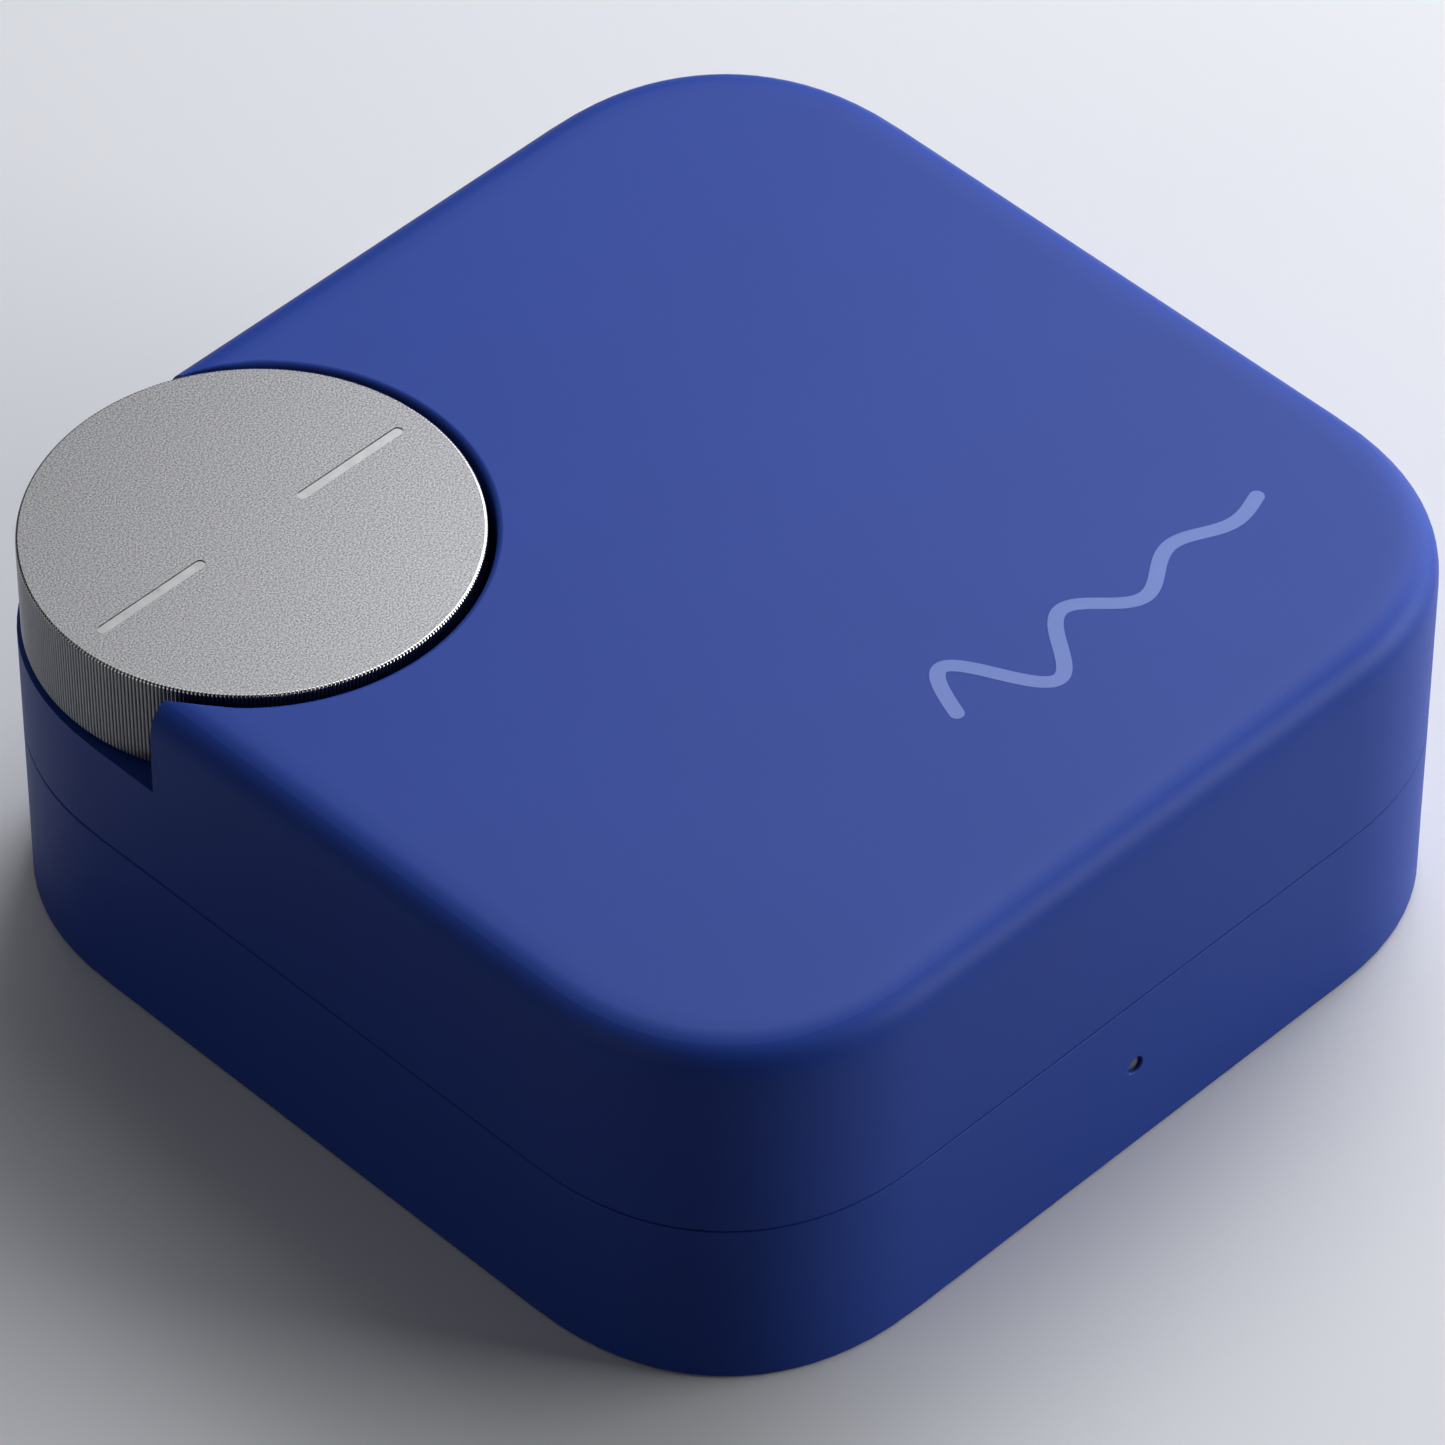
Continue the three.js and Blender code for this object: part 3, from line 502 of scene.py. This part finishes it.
def upper_shell():
    """The upper shell with its rounded top edge, the dial's well and a rebated lower edge."""
    outer_well = WellShape(WELL_RADIUS, WELL_WALL_END, WELL_FLOOR, 0.0, RIM_ROUND)
    inner_well = WellShape(
        WELL_RADIUS + WELL_WALL,
        WELL_WALL_END - WELL_WALL,
        WELL_FLOOR - WELL_FLOOR_THICKNESS,
        WALL,
        0.0,
    )
    outer_base = [
        (SEAM_UPPER, SEAM_ROUND),
        (SEAM_UPPER + SEAM_ROUND * 0.3, SEAM_ROUND * 0.3),
        (SEAM_UPPER + SEAM_ROUND, 0.0),
        (SEAM_UPPER + 0.5, 0.0),
    ]
    bm = bmesh.new()
    outer_open = add_skin(bm, outer_well, TOP, EDGE_EXTENT, outer_base)
    inner_open = add_skin(bm, inner_well, TOP - WALL, EDGE_EXTENT - WALL, [(REBATE_TOP, 0.0)])
    add_rebate(bm, outer_open, inner_open)
    shell = finish_mesh(bm, "upper_shell_skin")
    cut(shell, bushing_cutter())

    def on_opening(edge):
        middle = middle_of(edge)
        by_dial = middle.x < -15 and middle.y > 15 and middle.x < middle.y - 60
        level = WELL_FLOOR - 0.01 < middle.z < TOP - EDGE_EXTENT
        return by_dial and level and is_convex_corner(edge)

    bevel_edges(shell, on_opening, 0.12, 2)
    return shade(shell)


# ---------- Lower shell ----------

def tub_ring(bm, inset, z):
    """The case's outline, this far inside it, at height z."""
    points = [p for corner in range(4) for p in case_corner(corner, inset)]
    return ring(bm, points, z)


def bottom_rows(steps=4):
    """(inset, height) pairs of the lower shell's rounded bottom edge."""
    rows = []
    for step in range(steps, -1, -1):
        angle = step / steps * QUARTER
        z = TUB_BOTTOM + BOTTOM_ROUND * (1 - math.sin(angle))
        rows.append((BOTTOM_ROUND * (1 - math.cos(angle)), z))
    return rows


def cut_foot_recess(shell, corner):
    """A round recess for a foot, with a counterbore for the screw under it."""
    low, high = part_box("foot_" + corner)
    centre = (low + high) / 2 / MM
    profile = [
        (0, -1),
        (FOOT_RECESS_RADIUS, -1),
        (FOOT_RECESS_RADIUS, FOOT_RECESS_DEPTH),
        (COUNTERBORE_RADIUS, FOOT_RECESS_DEPTH),
        (COUNTERBORE_RADIUS, COUNTERBORE_DEPTH),
        (0, COUNTERBORE_DEPTH),
    ]
    cut(shell, turned("recess", profile, 64, centre.x, centre.y))


def lower_shell():
    """The tub with its rounded rim, lip, lamp hole, socket opening and foot recesses."""
    seam = SEAM_LOWER
    rows = [
        *bottom_rows(),
        (0.0, TUB_BOTTOM + 1.2),
        (0.0, seam - 0.6),
        (0.0, seam - LIP_ROUND),
        (LIP_ROUND * 0.13, seam - LIP_ROUND * 0.5),
        (LIP_ROUND * 0.5, seam - LIP_ROUND * 0.13),
        (LIP_ROUND, seam),
        (LIP_INSET, seam),
        (LIP_INSET, LIP_TOP),
        (WALL, LIP_TOP),
        (WALL, TUB_FLOOR),
    ]
    bm = bmesh.new()
    rings = [tub_ring(bm, inset, z) for inset, z in rows]
    for low, high in zip(rings, rings[1:]):
        bridge(bm, low, high)
    bm.faces.new(list(reversed(rings[0])))
    bm.faces.new(rings[-1])
    shell = finish_mesh(bm, "lower_shell_skin")

    cut(shell, lamp_cutter())
    cut(shell, socket_cutter())
    for corner in CORNERS:
        cut_foot_recess(shell, corner)

    def on_opening(edge):
        middle = middle_of(edge)
        on_face = abs(abs(middle.y) - HALF) < 0.01
        inboard = abs(middle.x) < 6 and 5 < middle.z < 16
        return on_face and inboard and is_convex_corner(edge)

    bevel_edges(shell, on_opening, 0.18, 3)
    return shade(shell)


def lamp_cutter():
    """The pinhole through the front wall."""
    angles = [2 * math.pi * i / 48 for i in range(48)]
    points = [(LAMP_HOLE_RADIUS * math.cos(a), LAMP_HOLE_RADIUS * math.sin(a)) for a in angles]
    in_wall = Matrix.Translation((0, -HALF + WALL + 1, LAMP_Z)) @ ALONG_Y
    return prism("lamp_cutter", points, 0, WALL + 2, in_wall)


def socket_cutter():
    """The charging socket's opening in the rear wall."""
    width = SOCKET_WIDTH + 2 * SOCKET_GAP
    height = SOCKET_HEIGHT + 2 * SOCKET_GAP
    outline = rounded_bar_outline(width, height, height / 2 - 0.02)
    in_wall = Matrix.Translation((0, HALF + 1, SOCKET_Z)) @ ALONG_Y
    return prism("socket_cutter", outline, 0, WALL + 2, in_wall)


# ---------- Dial ----------

def knurl_row(bm, radius, height):
    """One row round the dial; radius and height are functions of the depth into the knurl."""
    verts = []
    for tooth in range(KNURL_TEETH):
        for quarter, share in enumerate(KNURL_SHARES):
            depth = KNURL_DEPTH * share
            angle = 2 * math.pi * (tooth + quarter / 4) / KNURL_TEETH
            r = radius(depth)
            x = DIAL_X + r * math.cos(angle)
            y = DIAL_Y + r * math.sin(angle)
            verts.append(bm.verts.new((x, y, height(depth))))
    return verts


def dial_edge_row(step, steps):
    """One row of the dial's round top edge, into which the knurl's valleys run out."""
    face = DIAL_RADIUS - DIAL_ROUND

    def angle(depth):
        first = math.acos((DIAL_ROUND - depth) / DIAL_ROUND)
        return first + (QUARTER - first) * step / steps

    return (
        lambda depth: face + DIAL_ROUND * math.cos(angle(depth)),
        lambda depth: DIAL_TOP - DIAL_ROUND * (1 - math.sin(angle(depth))),
    )


def dial():
    """The dial's cup: grooved face, polished round edge, knurled side and hollow underside."""
    low = DIAL_BOTTOM
    rows = [
        (lambda depth: CUP_RADIUS, lambda depth: CUP_ROOF),
        (lambda depth: CUP_RADIUS, lambda depth: low),
        (lambda depth: DIAL_RADIUS - DIAL_ROUND, lambda depth: low),
        (lambda depth: DIAL_RADIUS - depth, lambda depth: low + DIAL_ROUND - depth),
        *[dial_edge_row(step, 4) for step in range(5)],
    ]
    bm = bmesh.new()
    rings = [knurl_row(bm, radius, height) for radius, height in rows]
    for inner, outer in zip(rings, rings[1:]):
        bridge(bm, inner, outer)
    bm.faces.new(rings[0])
    bm.faces.new(rings[-1])
    knob = finish_mesh(bm, "dial_knob_skin")
    length = GROOVE_END - GROOVE_START
    floor_level = DIAL_TOP - GROOVE_DEPTH
    for side in (-1, 1):
        outline = rounded_bar_outline(length, GROOVE_WIDTH, GROOVE_WIDTH / 2 - 0.01)
        centre = Matrix.Translation((DIAL_X + side * (GROOVE_START + length / 2), DIAL_Y, 0))
        cut(knob, prism("groove", outline, floor_level, DIAL_TOP + 1, centre))
    return shade(knob, 25)


# ---------- Small pieces ----------

def light_pipe():
    """The grey lens behind the front pinhole, a thin rod with a domed tip."""
    shoulder = -HALF + WALL + 0.3
    stations = [
        (0.0, LENS_TIP),
        (0.4, LENS_TIP + 0.02),
        (0.65, LENS_TIP + 0.07),
        (0.75, LENS_TIP + 0.15),
        (LENS_RADIUS, LENS_TIP + 0.3),
        (LENS_RADIUS, shoulder),
        (LENS_COLLAR_RADIUS, shoulder),
        (LENS_COLLAR_RADIUS, LENS_BACK - 0.15),
        (LENS_COLLAR_RADIUS - 0.15, LENS_BACK),
        (0.0, LENS_BACK),
    ]
    profile = [(radius, -y) for radius, y in reversed(stations)]
    lens = turned("light_pipe_skin", profile, 48)
    lens.data.transform(Matrix.Translation((0, 0, LAMP_Z * MM)) @ ALONG_Y)
    return shade(lens)


def foot(name):
    """A rubber foot with a soft edge and a shallow dish in its face."""
    low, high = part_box(name)
    centre = (low + high) / 2 / MM
    radius = (high.x - low.x) / 2 / MM
    top = high.z / MM
    profile = [
        (0, 0.18),
        (radius - 1.6, 0.18),
        (radius - 1.4, 0.12),
        (radius - 1.2, 0.02),
        (radius - 1.1, 0.0),
        (radius - 0.25, 0.0),
        (radius - 0.07, 0.07),
        (radius, 0.25),
        (radius, top),
        (0, top),
    ]
    return shade(turned(name + "_skin", profile, 64, centre.x, centre.y))


def socket_shell():
    """The rolled steel shell of the charging socket, from its inside back to its outside back."""
    stations = (
        (-SOCKET_SHEET, SOCKET_BACK + 0.8),
        (-SOCKET_SHEET, SOCKET_MOUTH - 0.15),
        (-0.22, SOCKET_MOUTH - 0.03),
        (-0.08, SOCKET_MOUTH),
        (0.0, SOCKET_MOUTH - 0.1),
        (0.0, SOCKET_BACK),
    )
    bm = bmesh.new()
    sections = []
    for growth, y in stations:
        width = SOCKET_WIDTH + 2 * growth
        height = SOCKET_HEIGHT + 2 * growth
        outline = rounded_bar_outline(width, height, height / 2 - 0.02)
        sections.append([bm.verts.new((p.x, y, SOCKET_Z + p.y)) for p in outline])
    for inner, outer in zip(sections, sections[1:]):
        bridge(bm, inner, outer)
    bm.faces.new(sections[0])
    bm.faces.new(list(reversed(sections[-1])))
    return shade(finish_mesh(bm, "usb_socket_skin"))


def rounded_plate(name, width, depth, height, round_off, centre):
    """A flat block with rounded edges all over."""
    bm = bmesh.new()
    bmesh.ops.create_cube(bm, size=1.0)
    bmesh.ops.scale(bm, vec=(width, depth, height), verts=bm.verts)
    bmesh.ops.bevel(bm, geom=bm.edges, offset=round_off, segments=2, affect="EDGES", profile=0.5)
    bmesh.ops.translate(bm, vec=centre, verts=bm.verts)
    return shade(finish_mesh(bm, name))


def mark_point(share):
    """A point of the wave's middle line, share 0 to 1 along it."""
    swing = math.sin(2 * math.pi * MARK_SWINGS * share)
    height = MARK_HEIGHT * math.exp(-MARK_DECAY * share) * swing
    return MARK_START + Vector((MARK_LENGTH * share, height))


def half_turn(centre, arm, steps=10):
    """Points clockwise round centre from the tip of arm to the opposite side, without the ends."""
    turns = [Matrix.Rotation(-math.pi * step / steps, 2) for step in range(1, steps)]
    return [centre + turn @ arm for turn in turns]


def ring_down_mark(steps=360):
    """A printed wave that dies away along X, the generic sign for demagnetizing."""
    spine = [mark_point(step / steps) for step in range(steps + 1)]
    left = []
    right = []
    for index, point in enumerate(spine):
        before = spine[max(index - 1, 0)]
        after = spine[min(index + 1, steps)]
        along = (after - before).normalized()
        side = Vector((-along.y, along.x)) * MARK_STROKE / 2
        left.append(point + side)
        right.append(point - side)
    far_end = half_turn(spine[-1], left[-1] - spine[-1])
    near_end = half_turn(spine[0], right[0] - spine[0])
    outline = left + far_end + right[::-1] + near_end
    count = len(spine)

    bm = bmesh.new()
    loops = [ring(bm, outline, z) for z in (TOP - MARK_THICKNESS, TOP + MARK_THICKNESS)]
    bridge(bm, *loops)
    right_start = count + len(far_end)
    right_end = right_start + count
    for loop in loops:
        left_row = loop[:count]
        right_row = loop[right_start:right_end][::-1]
        bridge(bm, left_row, right_row, closed=False)
        bm.faces.new([left_row[-1], *loop[count:right_start], right_row[-1]])
        bm.faces.new([right_row[0], *loop[right_end:], left_row[0]])
    return finish_mesh(bm, "printed_mark")


# ---------- Materials ----------

def material(name):
    """A new material with its node tree, its links and its shader."""
    mat = bpy.data.materials.new(name)
    mat.use_nodes = True
    nodes = mat.node_tree.nodes
    return mat, nodes, mat.node_tree.links, nodes["Principled BSDF"]


def noise(nodes, links, scale, detail):
    """A noise texture that sticks to the object, with scale in features per metre."""
    coordinates = nodes.new("ShaderNodeTexCoord")
    texture = nodes.new("ShaderNodeTexNoise")
    texture.inputs["Scale"].default_value = scale
    texture.inputs["Detail"].default_value = detail
    links.new(coordinates.outputs["Object"], texture.inputs["Vector"])
    return texture.outputs["Fac"]


def ramp(nodes, links, source, low, high, start=0.3, end=0.7):
    """A colour ramp from low to high between two values of source."""
    node = nodes.new("ShaderNodeValToRGB")
    node.color_ramp.elements[0].position = start
    node.color_ramp.elements[0].color = (*low, 1)
    node.color_ramp.elements[1].position = end
    node.color_ramp.elements[1].color = (*high, 1)
    links.new(source, node.inputs["Fac"])
    return node.outputs["Color"]


def span(nodes, links, source, low, high):
    """Source, 0 to 1, mapped to low to high."""
    node = nodes.new("ShaderNodeMapRange")
    node.inputs["To Min"].default_value = low
    node.inputs["To Max"].default_value = high
    links.new(source, node.inputs["Value"])
    return node.outputs["Result"]


def bump(nodes, links, shader, source, depth):
    """A bump of this depth, in metres."""
    node = nodes.new("ShaderNodeBump")
    node.inputs["Distance"].default_value = depth
    links.new(source, node.inputs["Height"])
    links.new(node.outputs["Normal"], shader.inputs["Normal"])


def tinted(colour, factor):
    """A colour made lighter or darker by a factor."""
    return tuple(channel * factor for channel in colour)


def moulded_plastic(name, colour, rough=0.5, grain=3500, depth=4e-6, variation=0.025, specular=0.5):
    """Plastic or a like body with a fine grained surface and faint mottling."""
    mat, nodes, links, shader = material(name)
    mottle = noise(nodes, links, 60, 4)
    fine = noise(nodes, links, grain, 2)
    low = tinted(colour, 1 - variation)
    high = tinted(colour, 1 + variation)
    links.new(ramp(nodes, links, mottle, low, high), shader.inputs["Base Color"])
    links.new(span(nodes, links, fine, rough - 0.05, rough + 0.05), shader.inputs["Roughness"])
    bump(nodes, links, shader, fine, depth)
    shader.inputs["Specular IOR Level"].default_value = specular
    return mat


def blasted_aluminium():
    """Fine bead blasted and anodised aluminium."""
    mat, nodes, links, shader = material("blasted_aluminium")
    grain = noise(nodes, links, 6000, 1)
    broad = noise(nodes, links, 700, 2)
    colour = ramp(nodes, links, grain, (0.11, 0.111, 0.116), (0.395, 0.398, 0.418), 0.25, 0.75)
    links.new(colour, shader.inputs["Base Color"])
    links.new(span(nodes, links, broad, 0.34, 0.42), shader.inputs["Roughness"])
    bump(nodes, links, shader, grain, 8e-6)
    shader.inputs["Metallic"].default_value = 1.0
    return mat


def plain_metal(name, colour, rough=0.25, grain=900, depth=2e-6):
    """Plain metal with a faint drawn grain."""
    mat, nodes, links, shader = material(name)
    fine = noise(nodes, links, grain, 3)
    tone = ramp(nodes, links, fine, tinted(colour, 0.92), tinted(colour, 1.05))
    links.new(tone, shader.inputs["Base Color"])
    links.new(span(nodes, links, fine, rough - 0.06, rough + 0.06), shader.inputs["Roughness"])
    bump(nodes, links, shader, fine, depth)
    shader.inputs["Metallic"].default_value = 1.0
    return mat


def wound_copper():
    """Enamelled copper wire in close turns, as bands along the coil's axis; the dark part of each
    band is painted shade in the gap between turns.
    """
    mat, nodes, links, shader = material("wound_copper")
    coordinates = nodes.new("ShaderNodeTexCoord")
    bands = nodes.new("ShaderNodeTexWave")
    bands.bands_direction = "Z"
    bands.inputs["Scale"].default_value = 600
    bands.inputs["Distortion"].default_value = 0.4
    links.new(coordinates.outputs["Object"], bands.inputs["Vector"])
    band = bands.outputs["Fac"]
    # the ramp's light end is the copper's own colour, its dark end painted shade between the turns
    colour = ramp(nodes, links, band, (0.16, 0.05, 0.02), (0.62, 0.27, 0.12), 0.1, 0.6)
    links.new(colour, shader.inputs["Base Color"])
    bump(nodes, links, shader, band, 6e-5)
    shader.inputs["Metallic"].default_value = 0.8
    shader.inputs["Roughness"].default_value = 0.35
    return mat


def circuit_board():
    """Solder mask over copper tracks on a fine grid."""
    mat, nodes, links, shader = material("circuit_board")
    coordinates = nodes.new("ShaderNodeTexCoord")
    tracks = nodes.new("ShaderNodeTexBrick")
    tracks.inputs["Scale"].default_value = 220
    tracks.inputs["Mortar Size"].default_value = 0.03
    tracks.inputs["Color1"].default_value = (0.02, 0.13, 0.07, 1)
    tracks.inputs["Color2"].default_value = (0.025, 0.17, 0.09, 1)
    tracks.inputs["Mortar"].default_value = (0.05, 0.27, 0.14, 1)
    links.new(coordinates.outputs["Object"], tracks.inputs["Vector"])
    links.new(tracks.outputs["Color"], shader.inputs["Base Color"])
    bump(nodes, links, shader, tracks.outputs["Fac"], 2e-5)
    shader.inputs["Roughness"].default_value = 0.35
    return mat


def smoky_lens():
    """The grey diffusing plastic of the signal lamp."""
    mat, nodes, links, shader = material("smoky_lens")
    cloud = noise(nodes, links, 900, 3)
    colour = ramp(nodes, links, cloud, (0.065, 0.07, 0.085), (0.095, 0.10, 0.115))
    links.new(colour, shader.inputs["Base Color"])
    shader.inputs["Roughness"].default_value = 0.3
    return mat


def foot_rubber():
    """Matte rubber with a fine dusty grain."""
    mat, nodes, links, shader = material("foot_rubber")
    grain = noise(nodes, links, 1800, 4)
    colour = ramp(nodes, links, grain, (0.018, 0.018, 0.02), (0.035, 0.035, 0.038))
    links.new(colour, shader.inputs["Base Color"])
    links.new(span(nodes, links, grain, 0.7, 0.9), shader.inputs["Roughness"])
    bump(nodes, links, shader, grain, 2e-5)
    return mat


BLUE = (0.0173, 0.055, 0.343)
INK = (0.125, 0.200, 0.580)

blue = moulded_plastic("blue_plastic", BLUE, 0.5, specular=0.2)
ink = moulded_plastic("mark_ink", INK, 0.55, 5000, 2e-6, 0.03)
blasted = blasted_aluminium()
polished = plain_metal("polished_aluminium", (0.62, 0.62, 0.63), 0.2)
groove_metal = plain_metal("groove_aluminium", (0.37, 0.372, 0.385), 0.3, 900, 4e-7)
knurled = plain_metal("knurled_aluminium", (0.265, 0.267, 0.28), 0.3, 2500, 1e-6)
rubber = foot_rubber()
lens_grey = smoky_lens()
steel = plain_metal("plated_steel", (0.55, 0.56, 0.58), 0.3)
black_plastic = moulded_plastic("black_plastic", (0.025, 0.025, 0.028), 0.45)
pale_plastic = moulded_plastic("pale_plastic", (0.68, 0.65, 0.57), 0.5)
ferrite = moulded_plastic("ferrite", (0.05, 0.05, 0.054), 0.75, 1400, 2e-5, 0.1)
foam = moulded_plastic("foam", (0.10, 0.10, 0.11), 0.95, 1200, 1e-4, 0.2)
battery_wrap = moulded_plastic("battery_wrap", (0.12, 0.19, 0.36), 0.3, 500, 2e-5, 0.05)
sleeve = moulded_plastic("capacitor_sleeve", (0.02, 0.03, 0.06), 0.28, 500, 6e-6, 0.05)
wire = moulded_plastic("wire_jacket", (0.34, 0.02, 0.02), 0.42, 900, 6e-6, 0.06)
copper = wound_copper()
board = circuit_board()

CAD_LOOKS = {
    "steel": steel,
    "dial_metal": blasted,
    "dark_plastic": black_plastic,
    "pale_plastic": pale_plastic,
    "copper_wire": copper,
    "ferrite": ferrite,
    "circuit_board": board,
    "foam": foam,
    "battery_wrap": battery_wrap,
    "capacitor_sleeve": sleeve,
    "lamp_lens": lens_grey,
    "wire_jacket": wire,
    "foot_rubber": rubber,
    "case_plastic": blue,
}


def dress_cad_nodes():
    """Every carried-over CAD node gets its slot's material."""
    for entry in frame["record"]["subparts"]:
        mesh = frame["nodes"][entry["node"]].data
        mesh.materials.clear()
        mesh.materials.append(CAD_LOOKS[entry["material_slot"]])


def place(obj, mat, body, slot, *replaced):
    """Gives a finished piece its material and its body, and hides the CAD nodes it stands for; slot
    is not used.
    """
    if not obj.data.materials:
        obj.data.materials.append(mat)
    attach(obj, body)
    if replaced:
        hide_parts(*replaced)


def finish_dial(knob):
    """Sets apart the dial's polished round edge, its grooves' floors and its knurled side."""
    for metal in (blasted, polished, groove_metal, knurled):
        knob.data.materials.append(metal)
    axis = Vector((DIAL_X, DIAL_Y))
    groove_floor = DIAL_TOP - GROOVE_DEPTH
    for face in knob.data.polygons:
        centre = face.center / MM
        away = (centre.xy - axis).length
        on_rim = away > GROOVE_END + 1
        level = face.normal.z > 0.99
        if on_rim and face.normal.z > 0.15 and not level:
            face.material_index = 1
        elif away < GROOVE_END and level and abs(centre.z - groove_floor) < 0.03:
            face.material_index = 2
        elif on_rim and abs(face.normal.z) < 0.15:
            face.material_index = 3


def socket_tongue():
    """The black tongue inside the charging socket."""
    low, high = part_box("usb_tongue")
    size = (high - low) / MM
    centre = (high + low) / 2 / MM
    return rounded_plate("usb_tongue_skin", size.x, size.y, size.z, 0.12, centre)


def build_pieces():
    """Every piece of the visual model, and the looks of the CAD nodes that stay."""
    dress_cad_nodes()
    place(upper_shell(), blue, "root", "case_plastic", "upper_shell")
    place(lower_shell(), blue, "root", "case_plastic", "lower_shell")
    knob = dial()
    finish_dial(knob)
    place(knob, blasted, "dial", "dial_metal", "dial_knob")
    place(light_pipe(), lens_grey, "root", "lamp_lens", "light_pipe")
    for corner in CORNERS:
        name = "foot_" + corner
        place(foot(name), rubber, "root", "foot_rubber", name)
    place(socket_shell(), steel, "root", "steel", "usb_socket")
    place(socket_tongue(), black_plastic, "root", "dark_plastic", "usb_tongue")
    place(ring_down_mark(), ink, "root", "mark_ink")


# ---------- Floor, light and camera ----------

def floor():
    """A plain pale floor that fills the view and throws no diffuse light back."""
    bm = bmesh.new()
    bmesh.ops.create_grid(bm, x_segments=1, y_segments=1, size=3000)
    obj = finish_mesh(bm, "floor")
    mat, nodes, links, shader = material("floor_paint")
    cloud = noise(nodes, links, 3, 2)
    colour = ramp(nodes, links, cloud, (0.733, 0.749, 0.809), (0.753, 0.769, 0.829))
    links.new(colour, shader.inputs["Base Color"])
    shader.inputs["Roughness"].default_value = 0.9
    shader.inputs["Specular IOR Level"].default_value = 0.1
    obj.data.materials.append(mat)
    obj.visible_diffuse = False


def direction(azimuth, elevation):
    """The unit vector towards a place at these angles in degrees; azimuth 0 is the front."""
    a = math.radians(azimuth)
    e = math.radians(elevation)
    return Vector((math.sin(a) * math.cos(e), -math.cos(a) * math.cos(e), math.sin(e)))


def softbox(name, azimuth, elevation, distance, width, height, power, colour=(1, 1, 1)):
    """An area light seen from the object at this azimuth and elevation, facing the object."""
    light = bpy.data.lights.new(name, "AREA")
    light.shape = "RECTANGLE"
    light.size = width
    light.size_y = height
    light.energy = power
    light.color = colour
    obj = new_object(name, light)
    away = direction(azimuth, elevation)
    obj.location = Vector((0, 0, 0.02)) + away * distance
    obj.rotation_euler = away.to_track_quat("Z", "Y").to_euler()
    obj.visible_camera = False


def lighting():
    """Soft lights round the object; the low ones stand in for what the floor would throw back."""
    world = bpy.data.worlds.new("studio")
    bpy.context.scene.world = world
    world.use_nodes = True
    background = world.node_tree.nodes["Background"]
    background.inputs["Color"].default_value = (0.86, 0.88, 1.0, 1)
    background.inputs["Strength"].default_value = 0.005
    warm = (1.0, 0.985, 0.93)
    softbox("front_right_low", 45, 14.3, 0.6, 0.4, 0.345, 2.75, warm)
    softbox("right_low", 90, 15.5, 1.2, 0.8, 0.695, 5.0)
    softbox("right_near", 110, 45, 0.6, 0.4, 0.4, 2.17)
    softbox("right_high", 90, 60, 1.2, 0.8, 0.8, 1.96)
    softbox("rear_right_high", 135, 60, 1.2, 0.8, 0.8, 1.95)
    softbox("rear_left_high", 225, 60, 1.2, 0.8, 0.8, 0.52, warm)
    softbox("left_low", 270, 15.5, 1.2, 0.8, 0.695, 1.55, warm)


def camera():
    """The photograph's viewing angle, with a long lens and a slight roll."""
    aim = Vector((-0.0002, 0.0002, 0.01672))
    distance = 0.84525
    roll = math.radians(0.131)
    data = bpy.data.cameras.new("camera")
    data.sensor_width = 36
    data.lens = 238.15
    data.clip_end = 20
    obj = new_object("camera", data)
    away = direction(-45.12, 45.31)
    facing = away.to_track_quat("Z", "Y").to_matrix()
    obj.location = aim + away * distance
    obj.rotation_euler = (facing @ Matrix.Rotation(roll, 3, "Z")).to_euler()
    bpy.context.scene.camera = obj
    bpy.context.scene.view_settings.view_transform = "Standard"


build_pieces()
floor()
lighting()
camera()
